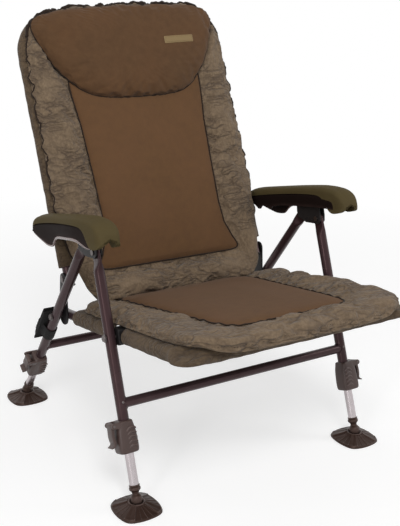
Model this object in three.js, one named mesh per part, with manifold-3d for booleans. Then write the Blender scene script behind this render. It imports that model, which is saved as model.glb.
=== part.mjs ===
// Folding carp fishing chair with armrests, telescopic legs and mud feet.
// Millimetres and degrees. +Z is up, the sitter faces -Y, and the chair is symmetrical about X = 0.
import * as THREE from 'three';
import { mergeVertices } from 'three/addons/utils/BufferGeometryUtils.js';
import Module from 'manifold-3d';

const wasm = await Module();
wasm.setup();

// Side frame
const legSpan = 562;
const frontLean = 20;
const rearLean = 36.8;
const armPivotHeight = 478;
const armPivotGap = 54;
const ballHeight = 22;
const seatPivotShare = 0.34826;
const crossBarRise = 31.3;
const rearBarRise = 40.5;
const tubeRadius = 11;
const tubeWall = 1.3;
const barRadius = 10;

// Seat and back
const seatTilt = 9.25;
const seatFrontReach = 240;
const seatTailReach = 276;
const backHingeReach = 246;
const backHingeRise = 82.6;
const backLean = 24.4;
const backTubeRise = 592;
const backTubeTail = 14;
const seatBendRadius = 45;
const backBendRadius = 85;

// Clearances
const seatGap = 0.3;
const boltGap = 0.3;
const softGap = 0.6;
const cutOverrun = 6;
const frameSideGap = 8;
const cushionSideGap = { seat: 9, back: 7, roll: 15, pillow: 20 };
const weldDistance = 1e-4;

// Facets
const tubeSides = 12;
const boltSides = 10;
const bendSteps = 4;

const legX = legSpan / 2;
const legInnerX = legX - tubeRadius;
const frameOuterX = legInnerX - frameSideGap;
const frameHalfWidth = frameOuterX - tubeRadius;
const { cos, sin, tan, abs, sign, max, min, PI } = Math;
const rad = THREE.MathUtils.degToRad;

// Materials
const finish = (color, roughness, metalness) =>
  new THREE.MeshStandardMaterial({ color, roughness, metalness });
const framePaint = finish(0x44363a, 0.4, 0.4);
const bareMetal = finish(0xc4bcbb, 0.3, 1);
const boltSteel = finish(0x8d878a, 0.35, 1);
const lockPlastic = finish(0x4b3c3c, 0.55, 0);
const blackPlastic = finish(0x1d1c1d, 0.6, 0);
const shellPlastic = finish(0x2b2524, 0.4, 0);
const oliveCover = finish(0x55503a, 0.75, 0);
const brownFleece = finish(0x5c4632, 0.95, 0);
const mottledCloth = finish(0x716152, 0.9, 0);
const slingCloth = finish(0x5f5244, 0.9, 0);
const webbing = finish(0x1c1b1b, 0.85, 0);

// Geometry helpers
const vec = (x, y, z) => new THREE.Vector3(x, y, z);

function enclosedVolume(points, index) {
  let sum = 0;
  for (let i = 0; i < index.length; i += 3) {
    const [a, b, c] = [points[index[i]], points[index[i + 1]], points[index[i + 2]]];
    sum += a.dot(b.clone().cross(c)) / 6;
  }
  return sum;
}

function closedGeometry(points, index) {
  const out = enclosedVolume(points, index) < 0 ? index.slice().reverse() : index;
  const geometry = new THREE.BufferGeometry().setFromPoints(points);
  geometry.setIndex(out);
  return geometry;
}

function capTriangles(ring) {
  const normal = vec(0, 0, 0);
  ring.forEach((p, i) => normal.add(p.clone().cross(ring[(i + 1) % ring.length])));
  normal.normalize();
  const across = ring[1].clone().sub(ring[0]).projectOnPlane(normal).normalize();
  const along = normal.clone().cross(across);
  const flat = ring.map((p) => new THREE.Vector2(p.dot(across), p.dot(along)));
  return THREE.ShapeUtils.triangulateShape(flat, []).map(([a, b, c]) => {
    const turn = flat[b].clone().sub(flat[a]).cross(flat[c].clone().sub(flat[a]));
    return turn > 0 ? [a, b, c] : [a, c, b];
  });
}

// Skins a run of rings that all have as many points. The ends are capped, or joined when looped.
function loft(rings, looped = false) {
  const count = rings[0].length;
  const points = rings.flat();
  const index = [];
  const spans = looped ? rings.length : rings.length - 1;
  for (let k = 0; k < spans; k += 1) {
    const next = (k + 1) % rings.length;
    for (let i = 0; i < count; i += 1) {
      const j = (i + 1) % count;
      const [a, b] = [k * count + i, k * count + j];
      const [c, d] = [next * count + i, next * count + j];
      index.push(a, b, d, a, d, c);
    }
  }
  if (!looped) {
    const last = (rings.length - 1) * count;
    capTriangles(rings[0]).forEach(([a, b, c]) => index.push(a, c, b));
    capTriangles(rings[rings.length - 1]).forEach((t) => index.push(...t.map((i) => i + last)));
  }
  return closedGeometry(points, index);
}

// Ring round Z, an ellipse at power 2 and squarer above it
function ringAtZ(z, halfX, halfY, power = 2, sides = tubeSides, x = 0, y = 0) {
  return Array.from({ length: sides }, (_, i) => {
    const turn = (2 * PI * (i + 0.5)) / sides;
    const [c, s] = [cos(turn), sin(turn)];
    return vec(
      x + halfX * sign(c) * abs(c) ** (2 / power),
      y + halfY * sign(s) * abs(s) ** (2 / power),
      z,
    );
  });
}

// Centre line through corners, each rounded to an arc
function roundedPath(corners, radius) {
  const path = [corners[0]];
  for (let k = 1; k < corners.length - 1; k += 1) {
    const back = corners[k - 1].clone().sub(corners[k]).normalize();
    const ahead = corners[k + 1].clone().sub(corners[k]).normalize();
    const half = back.angleTo(ahead) / 2;
    const from = corners[k].clone().addScaledVector(back, radius / tan(half));
    const toCentre = back.clone().add(ahead).normalize();
    const centre = corners[k].clone().addScaledVector(toCentre, radius / sin(half));
    const arm = from.clone().sub(centre);
    const axis = back.clone().cross(ahead).normalize();
    for (let step = 0; step <= bendSteps; step += 1) {
      const turn = -((PI - 2 * half) * step) / bendSteps;
      path.push(centre.clone().add(arm.clone().applyAxisAngle(axis, turn)));
    }
  }
  path.push(corners[corners.length - 1]);
  return path;
}

// Rings of a round tube along a flat path whose plane has the given normal
function tubeRings(path, radius, normal, sides = tubeSides) {
  return path.map((p, k) => {
    const before = path[max(k - 1, 0)];
    const after = path[min(k + 1, path.length - 1)];
    const tangent = after.clone().sub(before).normalize();
    const side = tangent.clone().cross(normal);
    return Array.from({ length: sides }, (_, i) => {
      const turn = (2 * PI * (i + 0.5)) / sides;
      const out = radius / cos(PI / sides);
      return p
        .clone()
        .addScaledVector(normal, out * cos(turn))
        .addScaledVector(side, out * sin(turn));
    });
  });
}

const rodAlong = (path, radius, normal, sides) => loft(tubeRings(path, radius, normal, sides));

function pipeAlong(path, outer, inner, normal) {
  const facetShare = cos(PI / tubeSides);
  const outside = tubeRings(path, outer * facetShare, normal);
  const inside = tubeRings(path, inner, normal);
  return loft([...outside, ...inside.reverse()], true);
}

// Round bar on X, from one place to another, at y and z
function rodOnX(fromX, toX, radius, y = 0, z = 0, sides = boltSides) {
  const rod = new THREE.CylinderGeometry(radius, radius, abs(toX - fromX), sides);
  rod.rotateZ(PI / 2);
  rod.translate((fromX + toX) / 2, y, z);
  return rod;
}

function boxFrom(low, high) {
  const size = high.clone().sub(low);
  const box = new THREE.BoxGeometry(size.x, size.y, size.z);
  box.translate(low.x + size.x / 2, low.y + size.y / 2, low.z + size.z / 2);
  return box;
}

// Plate in the Y-Z plane, given by its outline, between two places on X
function plateOnX(outline, fromX, toX) {
  const shape = new THREE.Shape(outline.map(([y, z]) => new THREE.Vector2(y, z)));
  const options = { depth: toX - fromX, bevelEnabled: false, curveSegments: boltSides };
  const plate = new THREE.ExtrudeGeometry(shape, options);
  plate.rotateY(PI / 2).rotateX(PI / 2);
  plate.translate(fromX, 0, 0);
  return plate;
}

function solidOf(geometry) {
  const bare = geometry.clone();
  ['normal', 'uv'].forEach((name) => bare.deleteAttribute(name));
  const merged = mergeVertices(bare, weldDistance);
  return new wasm.Manifold(
    new wasm.Mesh({
      numProp: 3,
      vertProperties: Float32Array.from(merged.attributes.position.array),
      triVerts: Uint32Array.from(merged.index.array),
    }),
  );
}

// One body: the first geometry joined with the others, less what is cut away
function carved(base, joined = [], cut = []) {
  let solid = solidOf(base);
  joined.forEach((geometry) => {
    solid = solid.add(solidOf(geometry));
  });
  cut.forEach((geometry) => {
    solid = solid.subtract(solidOf(geometry));
  });
  const { vertProperties, triVerts } = solid.getMesh();
  const geometry = new THREE.BufferGeometry();
  geometry.setAttribute('position', new THREE.BufferAttribute(Float32Array.from(vertProperties), 3));
  geometry.setIndex(Array.from(triVerts));
  return geometry;
}

// A geometry made for the right side, for either side
function forSide(geometry, side) {
  const copy = geometry.clone();
  if (side > 0) return copy;
  copy.scale(-1, 1, 1);
  if (copy.index) copy.setIndex(Array.from(copy.index.array).reverse());
  return copy;
}

const chair = new THREE.Group();

function frame(y, z, tilt) {
  const group = new THREE.Group();
  group.position.set(0, y, z);
  group.rotation.x = rad(tilt);
  chair.add(group);
  return group;
}

function place(group, name, geometry, material) {
  const mesh = new THREE.Mesh(geometry, material);
  mesh.name = name;
  group.add(mesh);
}

function placePair(group, name, geometry, material) {
  place(group, `${name}_left`, forSide(geometry, -1), material);
  place(group, `${name}_right`, forSide(geometry, 1), material);
}

// Where the frames stand, in the side plane. The front leg's top pivot is over Y = 0.
const frontLegReach = (armPivotHeight - ballHeight) / cos(rad(frontLean));
const rearLegReach = (armPivotHeight - ballHeight) / cos(rad(rearLean));
const seatPivotDrop = seatPivotShare * frontLegReach;
const seatPivot = {
  y: -seatPivotDrop * sin(rad(frontLean)),
  z: armPivotHeight - seatPivotDrop * cos(rad(frontLean)),
};
const backHinge = {
  y: seatPivot.y + backHingeReach * cos(rad(seatTilt)) + backHingeRise * sin(rad(seatTilt)),
  z: seatPivot.z - backHingeReach * sin(rad(seatTilt)) + backHingeRise * cos(rad(seatTilt)),
};

// The rear leg meets the seat frame's line this far down from its top pivot
const seatLineGap =
  (armPivotGap - seatPivot.y) * sin(rad(seatTilt)) +
  (armPivotHeight - seatPivot.z) * cos(rad(seatTilt));
const seatHookDrop = seatLineGap / cos(rad(rearLean + seatTilt));
const seatHookReach =
  (armPivotGap + seatHookDrop * sin(rad(rearLean)) - seatPivot.y) / cos(rad(seatTilt));

const frontLegs = frame(0, armPivotHeight, -frontLean);
const rearLegs = frame(armPivotGap, armPivotHeight, rearLean);
const seat = frame(seatPivot.y, seatPivot.z, -seatTilt);
const back = frame(backHinge.y, backHinge.z, -backLean);
const frontFeet = frame(-frontLegReach * sin(rad(frontLean)), ballHeight, 0);
const rearFeet = frame(armPivotGap + rearLegReach * sin(rad(rearLean)), ballHeight, 0);

// Leg tubes, flattened at the top for the arm pivot
const legTop = { halfThick: 3.5, halfWide: 14, crown: 10, shoulder: 6, flat: 17, taper: 38, boltRadius: 3 };
const pivotBolt = { radius: 4, headRadius: 7, head: 4.5, nut: 4 };
const lock = {
  height: 63,
  frontLift: 92,
  rearLift: 94,
  tubeSeat: 8,
  halfTop: 15.5,
  halfMiddle: 21,
  halfDeep: 19,
  outset: 2.5,
  ribs: 5,
  ribPitch: 8,
  ribHeight: 3.4,
  ribProud: 1.6,
  ribHalf: 10,
  ribInset: 6.5,
};
const innerLeg = { radius: 9.3, wall: 1.4, footGap: 28, frontInside: 140, rearInside: 130 };

function legTube(reach, lockLift, sideDrop, sideRadius) {
  const end = reach - lockLift - lock.tubeSeat;
  const bore = tubeRadius - tubeWall;
  const top = legTop;
  const round = (drop, radius) => ringAtZ(-drop, radius, radius);
  const tube = loft([
    round(top.taper + top.flat, bore),
    round(end, bore),
    round(end, tubeRadius),
    round(top.taper, tubeRadius),
    ringAtZ(-top.flat, top.halfThick, top.halfWide, 4),
    ringAtZ(top.shoulder, top.halfThick, top.halfWide, 4),
    ringAtZ(top.crown, top.halfThick, top.halfWide - top.shoulder, 4),
  ]);
  tube.translate(legX, 0, 0);
  const through = [legX - tubeRadius - cutOverrun, legX + tubeRadius + cutOverrun];
  return carved(tube, [], [
    rodOnX(...through, top.boltRadius + boltGap),
    rodOnX(...through, sideRadius + boltGap, 0, -sideDrop),
  ]);
}

placePair(
  frontLegs,
  'front_leg',
  legTube(frontLegReach, lock.frontLift, seatPivotDrop, pivotBolt.radius),
  framePaint,
);
placePair(
  rearLegs,
  'rear_leg',
  legTube(rearLegReach, lock.rearLift, seatHookDrop, pivotBolt.radius),
  framePaint,
);

// Cross bars, coped to the legs
function crossBar(drop) {
  const end = legX - tubeRadius / 2;
  const path = [vec(-end, 0, -drop), vec(end, 0, -drop)];
  const bar = pipeAlong(path, barRadius, barRadius - tubeWall, vec(0, 0, 1));
  const leg = tubeRadius + seatGap;
  const legs = [-1, 1].map((side) => {
    const run = [ringAtZ(-drop - 2 * leg, leg, leg), ringAtZ(-drop + 2 * leg, leg, leg)];
    const post = loft(run);
    post.translate(side * legX, 0, 0);
    return post;
  });
  return carved(bar, [], legs);
}

const frontBarDrop = frontLegReach - lock.frontLift - lock.height - crossBarRise;
const rearBarDrop = rearLegReach - lock.rearLift - lock.height - rearBarRise;
place(frontLegs, 'front_cross_bar', crossBar(frontBarDrop), framePaint);
place(rearLegs, 'rear_cross_bar', crossBar(rearBarDrop), framePaint);

// Cam locks: a clamp body with grip ribs and two ears, and a lever on the outer side
const ear = { out: 29, drop: 6, radius: 5.5, inner: 12.6, thick: 4, pinRadius: 2.4 };
const lever = { thick: 4.4, halfWide: 11.8, length: 40, bow: 2.4, tab: 9, tabDrop: 6 };
const lockRingShares = [
  [0, 0, 0.82],
  [0.1, 0.25, 0.9],
  [0.28, 0.7, 0.96],
  [0.72, 1, 1],
  [0.92, 0.9, 0.97],
  [1, 0.45, 0.86],
];

function lockBody(reach, lift) {
  const top = reach - lift - lock.height;
  const body = loft(
    lockRingShares.map(([down, out, deep]) => {
      const halfX = lock.halfTop + (lock.halfMiddle - lock.halfTop) * out;
      return ringAtZ(-top - lock.height * down, halfX, lock.halfDeep * deep, 4, tubeSides, lock.outset);
    }),
  );
  const ribs = Array.from({ length: lock.ribs }, (_, i) => {
    const z = -top - lock.height / 2 + (i - (lock.ribs - 1) / 2) * lock.ribPitch;
    const x = lock.outset - lock.ribInset;
    return boxFrom(
      vec(x - lock.ribHalf, -lock.halfDeep - lock.ribProud, z - lock.ribHeight / 2),
      vec(x + lock.ribHalf, -lock.halfDeep / 2, z + lock.ribHeight / 2),
    );
  });
  const ears = [-1, 1].map((side) => {
    const near = side * ear.inner;
    const far = side * (ear.inner + ear.thick);
    const cheek = new THREE.CylinderGeometry(ear.radius, ear.radius, ear.thick, boltSides);
    cheek.translate(ear.out, (near + far) / 2, -top - ear.drop);
    const root = boxFrom(
      vec(lock.outset, min(near, far), -top - ear.drop - ear.radius),
      vec(ear.out, max(near, far), -top - ear.drop + ear.radius),
    );
    return [cheek, root];
  });
  const pin = new THREE.CylinderGeometry(
    ear.pinRadius + boltGap,
    ear.pinRadius + boltGap,
    2 * (ear.inner + ear.thick + cutOverrun),
    boltSides,
  );
  pin.translate(ear.out, 0, -top - ear.drop);
  const tubeEnd = reach - lift - lock.tubeSeat + seatGap;
  const outerBore = tubeRadius + seatGap;
  const innerBore = innerLeg.radius + seatGap;
  const cut = [
    loft([ringAtZ(-top + cutOverrun, outerBore, outerBore), ringAtZ(-tubeEnd, outerBore, outerBore)]),
    loft([ringAtZ(-top, innerBore, innerBore), ringAtZ(-reach + lift - cutOverrun, innerBore, innerBore)]),
    pin,
  ];
  const whole = carved(body, [...ribs, ...ears.flat()], cut);
  whole.translate(legX, 0, 0);
  return whole;
}

// Outline of a lever in X-Z about its pin, hanging down the outer side of the lock
function lockLever(reach, lift) {
  const top = reach - lift - lock.height;
  const head = ear.radius - seatGap;
  const { thick, length, bow, tab, tabDrop } = lever;
  const outline = [
    [head, 0],
    [head * 0.75, -head],
    [thick / 2 + bow, -length / 2],
    [thick / 2, -length + tabDrop],
    [tab, -length],
    [tab - thick / 2, -length - thick / 2],
    [-thick / 2, -length + tabDrop / 2],
    [-thick / 2 + bow, -length / 2],
    [-head * 0.75, -head * 0.8],
    [-head, 0],
    [-head * 0.6, head * 0.8],
    [head * 0.6, head * 0.8],
  ];
  const arm = loft(
    [-1, 1].map((side) => outline.map(([x, z]) => vec(x, side * lever.halfWide, z))),
  );
  const reachY = ear.inner + ear.thick - seatGap;
  const pin = new THREE.CylinderGeometry(ear.pinRadius, ear.pinRadius, 2 * reachY, boltSides);
  const whole = carved(arm, [pin]);
  whole.translate(legX + ear.out, 0, -top - ear.drop);
  return whole;
}

placePair(frontLegs, 'front_lock_body', lockBody(frontLegReach, lock.frontLift), lockPlastic);
placePair(frontLegs, 'front_lock_lever', lockLever(frontLegReach, lock.frontLift), lockPlastic);
placePair(rearLegs, 'rear_lock_body', lockBody(rearLegReach, lock.rearLift), lockPlastic);
placePair(rearLegs, 'rear_lock_lever', lockLever(rearLegReach, lock.rearLift), lockPlastic);

// Inner legs and their ball studs
const stud = {
  spigot: 24,
  spigotGap: 0.3,
  collarRadius: 11,
  collar: 9,
  neckRadius: 7,
  neckDrop: 14,
  ball: 12,
};

function innerTube(reach, lift, inside) {
  const low = -reach + innerLeg.footGap;
  const high = -reach + lift + inside;
  const { radius } = innerLeg;
  const bore = radius - innerLeg.wall;
  const tube = loft(
    [
      ringAtZ(low, radius, radius),
      ringAtZ(high, radius, radius),
      ringAtZ(high, bore, bore),
      ringAtZ(low, bore, bore),
    ],
    true,
  );
  tube.translate(legX, 0, 0);
  return tube;
}

function ballStud(reach) {
  const { ball, neckRadius, neckDrop, collar, collarRadius, spigot } = stud;
  const shoulder = innerLeg.footGap - seatGap;
  const bore = innerLeg.radius - innerLeg.wall - stud.spigotGap;
  const join = Math.asin(neckRadius / ball);
  const steps = 5;
  const round = Array.from({ length: steps }, (_, i) => {
    const turn = PI - ((PI - join) * i) / (steps - 1);
    return new THREE.Vector2(i === 0 ? 0 : ball * sin(turn), ball * cos(turn));
  });
  const profile = [
    ...round,
    new THREE.Vector2(neckRadius, neckDrop),
    new THREE.Vector2(collarRadius, shoulder - collar),
    new THREE.Vector2(collarRadius, shoulder),
    new THREE.Vector2(bore, shoulder),
    new THREE.Vector2(bore, shoulder + spigot),
    new THREE.Vector2(0, shoulder + spigot),
  ];
  const turned = new THREE.LatheGeometry(profile, tubeSides);
  turned.rotateX(PI / 2);
  turned.translate(legX, 0, -reach);
  return carved(turned);
}

const frontInner = innerTube(frontLegReach, lock.frontLift, innerLeg.frontInside);
const rearInner = innerTube(rearLegReach, lock.rearLift, innerLeg.rearInside);
placePair(frontLegs, 'front_inner_leg', frontInner, bareMetal);
placePair(rearLegs, 'rear_inner_leg', rearInner, bareMetal);
placePair(frontLegs, 'front_ball_stud', ballStud(frontLegReach), lockPlastic);
placePair(rearLegs, 'rear_ball_stud', ballStud(rearLegReach), lockPlastic);

// Mud feet: four-cornered domes with a wedge to each corner and an open ball socket
const foot = { radius: 50.5, corner: 4.5, sides: 32, turn: 45, ridge: 3.6, boss: 17, bossDrop: 5 };
const footEdgeShare = 0.91;
// Radius share, height as a share of the ball's height, wedge height share
const footUnderShares = [[0.3, 0.24, 0], [0.6, 0.18, 0], [0.94, 0, 0]];
const footOverShares = [[1, 0, 0], [1, 0.12, 0], [0.97, 0.17, 0.4], [0.66, 0.35, 1], [0.38, 0.54, 1]];

function footRing([share, lift, ridge]) {
  return Array.from({ length: foot.sides }, (_, i) => {
    const turn = (2 * PI * i) / foot.sides + rad(foot.turn);
    const cornered = cos((8 * PI * i) / foot.sides);
    const radius = (foot.radius + foot.corner * cornered) * share;
    const offCorner = (i + 1) % (foot.sides / 4);
    const raised = offCorner <= 2 ? foot.ridge * ridge : 0;
    return vec(radius * cos(turn), radius * sin(turn), ballHeight * (lift - 1) + raised);
  });
}

function mudFoot() {
  const footTurn = rad(foot.turn) - PI / foot.sides;
  const turned = (ring) => ring.map((p) => p.applyAxisAngle(vec(0, 0, 1), footTurn));
  const bossRing = (radius, drop) => turned(ringAtZ(-drop, radius, radius, 2, foot.sides));
  const rings = [
    ...footUnderShares.map(footRing),
    ...footOverShares.map(footRing),
    bossRing(foot.boss, foot.bossDrop + foot.ridge),
    bossRing(foot.boss * footEdgeShare, foot.bossDrop),
  ];
  const flatShare = cos(PI / tubeSides) ** 2;
  const socket = new THREE.SphereGeometry((stud.ball + seatGap) / flatShare, tubeSides, tubeSides / 2);
  const whole = carved(loft(rings), [], [socket]);
  whole.translate(legX, 0, 0);
  return whole;
}

placePair(frontFeet, 'front_mud_foot', mudFoot(), lockPlastic);
placePair(rearFeet, 'rear_mud_foot', mudFoot(), lockPlastic);

// Seat frame, back frame and the hinge plates between them
const flatNormal = vec(0, 0, 1);
const backNormal = vec(0, 1, 0);

// The U of each frame from its open end, and round that to the other side
const seatPath = (tail) =>
  roundedPath(
    [
      vec(-frameHalfWidth, tail, 0),
      vec(-frameHalfWidth, -seatFrontReach, 0),
      vec(frameHalfWidth, -seatFrontReach, 0),
      vec(frameHalfWidth, tail, 0),
    ],
    seatBendRadius,
  );
const backPath = (tail) =>
  roundedPath(
    [
      vec(-frameHalfWidth, 0, tail),
      vec(-frameHalfWidth, 0, backTubeRise),
      vec(frameHalfWidth, 0, backTubeRise),
      vec(frameHalfWidth, 0, tail),
    ],
    backBendRadius,
  );
const acrossFrame = [frameHalfWidth - tubeRadius - cutOverrun, frameOuterX + cutOverrun];
const bothSides = (geometry) => [forSide(geometry, -1), forSide(geometry, 1)];
const notchPin = { rise: 107, radius: 4, reach: 6.7, inside: 12 };

function frameTube(path, normal, drilled) {
  const tube = pipeAlong(path, tubeRadius, tubeRadius - tubeWall, normal);
  return carved(tube, [], drilled.flatMap(bothSides));
}

place(
  seat,
  'seat_frame_tube',
  frameTube(seatPath(seatTailReach), flatNormal, [rodOnX(...acrossFrame, pivotBolt.radius + boltGap)]),
  framePaint,
);
place(
  back,
  'back_frame_tube',
  frameTube(backPath(-backTubeTail), backNormal, [
    rodOnX(...acrossFrame, pivotBolt.radius + boltGap),
    rodOnX(...acrossFrame, notchPin.radius + boltGap, 0, notchPin.rise),
  ]),
  framePaint,
);

const hingePlate = { thick: 4, radius: 14, lobe: 21, lobeInset: 16 };
const lobeArc = { from: -190, to: 10, steps: 8 };
const pivotArc = { from: 0, to: 180, steps: 6 };

// Outline round two discs, the lower one on the seat tube and the upper one on the back hinge
function plateOutline() {
  const low = [seatTailReach - hingePlate.lobeInset, 0];
  const high = [backHingeReach, backHingeRise];
  const lean = Math.atan2(high[0] - low[0], high[1] - low[1]);
  const arc = ([y, z], radius, { from, to, steps }) =>
    Array.from({ length: steps + 1 }, (_, i) => {
      const turn = rad(from + ((to - from) * i) / steps) - lean;
      return [y + radius * cos(turn), z + radius * sin(turn)];
    });
  return [...arc(low, hingePlate.lobe, lobeArc), ...arc(high, hingePlate.radius, pivotArc)];
}

const plateInnerX = frameOuterX + seatGap;
const plateOuterX = plateInnerX + hingePlate.thick;

function hingeSide() {
  const plate = plateOnX(plateOutline(), plateInnerX, plateOuterX);
  return carved(plate, [], [
    rodOnX(
      plateInnerX - cutOverrun,
      plateOuterX + cutOverrun,
      pivotBolt.radius + boltGap,
      backHingeReach,
      backHingeRise,
    ),
  ]);
}

placePair(seat, 'hinge_plate', hingeSide(), blackPlastic);

// Saddles that carry the seat tube on the front legs
const saddle = { halfLong: 16, halfHigh: 16.6, inside: 15 };
const saddleOuterX = legInnerX - seatGap;

function pivotSaddle() {
  const low = vec(frameHalfWidth - saddle.inside, -saddle.halfLong, -saddle.halfHigh);
  const block = boxFrom(low, vec(saddleOuterX, saddle.halfLong, saddle.halfHigh));
  const run = [vec(frameHalfWidth, -3 * saddle.halfLong, 0), vec(frameHalfWidth, 3 * saddle.halfLong, 0)];
  return carved(block, [], [
    rodAlong(run, tubeRadius + seatGap, flatNormal),
    rodOnX(low.x - cutOverrun, saddleOuterX + cutOverrun, pivotBolt.radius + boltGap),
  ]);
}

placePair(seat, 'seat_pivot_saddle', pivotSaddle(), blackPlastic);

// Bolts, pins and rivets
function headedBolt(headX, tipX, radius, head = pivotBolt.head) {
  const out = sign(headX - tipX);
  const hexHead = rodOnX(headX, headX + out * head, pivotBolt.headRadius, 0, 0, 6);
  return carved(rodOnX(headX, tipX, radius), [hexHead]);
}

const placed = (geometry, y, z) => geometry.clone().translate(0, y, z);
const boltHeadX = legX + tubeRadius + seatGap;
const saddleInnerX = frameHalfWidth - saddle.inside;
const seatBolt = headedBolt(boltHeadX, saddleInnerX - pivotBolt.nut, pivotBolt.radius);
placePair(frontLegs, 'seat_pivot_bolt', placed(seatBolt, 0, -seatPivotDrop), boltSteel);

const hookBolt = headedBolt(boltHeadX, plateOuterX + seatGap, pivotBolt.radius);
placePair(rearLegs, 'seat_hook_bolt', placed(hookBolt, 0, -seatHookDrop), boltSteel);

const hingeHead = 2;
const hingeBolt = headedBolt(
  plateOuterX + seatGap,
  frameHalfWidth - tubeRadius - pivotBolt.nut,
  pivotBolt.radius,
  hingeHead,
);
placePair(back, 'back_hinge_bolt', hingeBolt, boltSteel);

const notchStub = rodOnX(
  frameHalfWidth - notchPin.inside,
  frameOuterX + notchPin.reach,
  notchPin.radius,
  0,
  notchPin.rise,
);
placePair(back, 'notch_pin', notchStub, boltSteel);

// Armrests. U runs back from the pivot and V rises from that line.
const arm = {
  rise: 12.5,
  length: 262,
  roof: 60,
  padTop: 75,
  inset: 11.7,
  outset: 37,
  rearOutset: 24,
  wall: 3,
  padProud: 1.4,
  edge: 6,
};
const armFrame = frame(0, armPivotHeight, -arm.rise);
const armInnerX = legX - arm.inset;
const armOuterX = legX + arm.outset;

// Stations along the shell: share of length, lower edge and top as shares of the roof, taper share
const shellShares = [
  [-0.235, 0.21, 0.5, 0],
  [-0.17, 0.2, 0.63, 0],
  [-0.11, 0.25, 0.78, 0],
  [0.02, 0.43, 0.93, 0.05],
  [0.23, 0.47, 1, 0.25],
  [0.42, 0.48, 1, 0.5],
  [0.49, 0.43, 1, 0.62],
  [0.555, 0.3, 1, 1],
  [0.61, 0.16, 1, 1],
  [0.7, 0.18, 1, 1],
  [0.86, 0.4, 0.98, 1],
  [0.955, 0.55, 0.95, 1],
  [1, 0.7, 0.87, 1],
];
// Lower edge of the inner wall, with the recesses for the notch pin
const notchShares = [
  [-0.3, 0.3],
  [-0.2, 0.36],
  [0.05, 0.46],
  [0.48, 0.53],
  [0.59, 0.48],
  [0.635, 0.35],
  [0.68, 0.5],
  [0.715, 0.55],
  [0.755, 0.5],
  [0.795, 0.35],
  [0.84, 0.5],
  [0.88, 0.62],
  [0.935, 0.64],
  [0.97, 0.6],
  [1.05, 0.72],
];
// Stations along the cover: share of length, lower edge, top and side taper shares
const padShares = [
  [-0.365, 0.36, 0.58, 0.5],
  [-0.345, 0.24, 0.78, 0.2],
  [-0.3, 0.19, 0.93, 0],
  [-0.2395, 0.2, 1.05, 0],
  [-0.2378, 0.527, 1.03, 0],
];

const outerXAt = (taper) => armOuterX + (arm.rearOutset - arm.outset) * taper;

function armSection(y, low, high, inner, outer, edge) {
  const mid = (inner + outer) / 2;
  return [
    vec(inner, y, low),
    vec(inner, y, high - edge),
    vec(inner + edge, y, high),
    vec(mid, y, high + edge / 6),
    vec(outer - edge, y, high),
    vec(outer, y, high - edge),
    vec(outer, y, low),
    vec(mid, y, low),
  ];
}

function armShell() {
  const outside = loft(
    shellShares.map(([along, low, high, taper]) =>
      armSection(arm.length * along, arm.roof * low, arm.roof * high, armInnerX, outerXAt(taper), arm.edge),
    ),
  );
  const last = shellShares.length - 1;
  const inside = loft(
    shellShares.map(([along, , high, taper], k) => {
      const ends = (k === 0 ? arm.wall : 0) - (k === last ? arm.wall : 0);
      const inner = armInnerX + arm.wall;
      const outer = outerXAt(taper) - arm.wall;
      const roof = arm.roof * high - arm.wall;
      return armSection(arm.length * along + ends, -cutOverrun, roof, inner, outer, arm.edge / 2);
    }),
  );
  const edge = notchShares.map(([along, height]) => [arm.length * along, arm.roof * height]);
  const [first, final] = [edge[0], edge[edge.length - 1]];
  const below = plateOnX(
    [...edge, [final[0], -cutOverrun], [first[0], -cutOverrun]],
    armInnerX - cutOverrun,
    armInnerX + arm.wall + seatGap,
  );
  return carved(outside, [], [inside, below]);
}

function armCover() {
  const proud = arm.padProud;
  const front = padShares.map(([along, low, high, pull]) => {
    const inner = armInnerX + 2 * arm.edge * pull;
    const outer = armOuterX + proud - 2 * arm.edge * pull;
    return armSection(arm.length * along, arm.roof * low, arm.roof * high, inner, outer, arm.edge);
  });
  const depth = arm.padTop - arm.roof;
  const rest = shellShares.map(([along, , high, taper], k) => {
    const base = arm.roof * high + arm.edge / 6 + softGap;
    const tail = k === shellShares.length - 1 ? 0.5 : 1;
    const lift = depth * min(tail, 0.5 + 0.5 * high) + (1 - high) * arm.roof * 0.62;
    return armSection(arm.length * along, base, base + lift, armInnerX, outerXAt(taper) + proud, arm.edge);
  });
  return loft([...front, ...rest]);
}

placePair(armFrame, 'armrest_shell', armShell(), shellPlastic);
placePair(armFrame, 'armrest_cover', armCover(), oliveCover);

// Black bracket under the armrest, holding both leg tops
const bracket = { gap: 4.3, thick: 3, radius: 14, web: 29, webThick: 3, length: 12 };

function armBracket() {
  const reach = armPivotGap * cos(rad(arm.rise));
  const lift = armPivotGap * sin(rad(arm.rise));
  const roof = arm.roof * 0.9 - arm.wall - softGap;
  const { radius } = bracket;
  const outline = [
    [-radius, radius / 2],
    [-radius * 0.9, -radius * 0.4],
    [-radius * 0.4, -radius * 0.9],
    [radius * 0.6, -radius * 0.8],
    [reach - 1.1 * radius, -radius * 0.6],
    [reach - radius * 0.2, lift - radius * 0.95],
    [reach + radius * 0.8, lift - radius * 0.5],
    [reach + radius, lift + radius * 0.4],
    [reach + bracket.length, roof],
    [-bracket.length, roof - 0.6 * radius],
  ];
  const far = bracket.gap + bracket.thick;
  const cheeks = [
    plateOnX(outline, legX - far, legX - bracket.gap),
    plateOnX(outline, legX + bracket.gap, legX + far),
  ];
  const web = boxFrom(
    vec(legX - far, -bracket.length, bracket.web),
    vec(legX + far, reach + bracket.length, bracket.web + bracket.webThick),
  );
  return carved(cheeks[0], [web, cheeks[1]], [
    rodOnX(legX - far - cutOverrun, legX + far + cutOverrun, legTop.boltRadius + boltGap),
  ]);
}

placePair(armFrame, 'armrest_bracket', armBracket(), blackPlastic);

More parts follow.
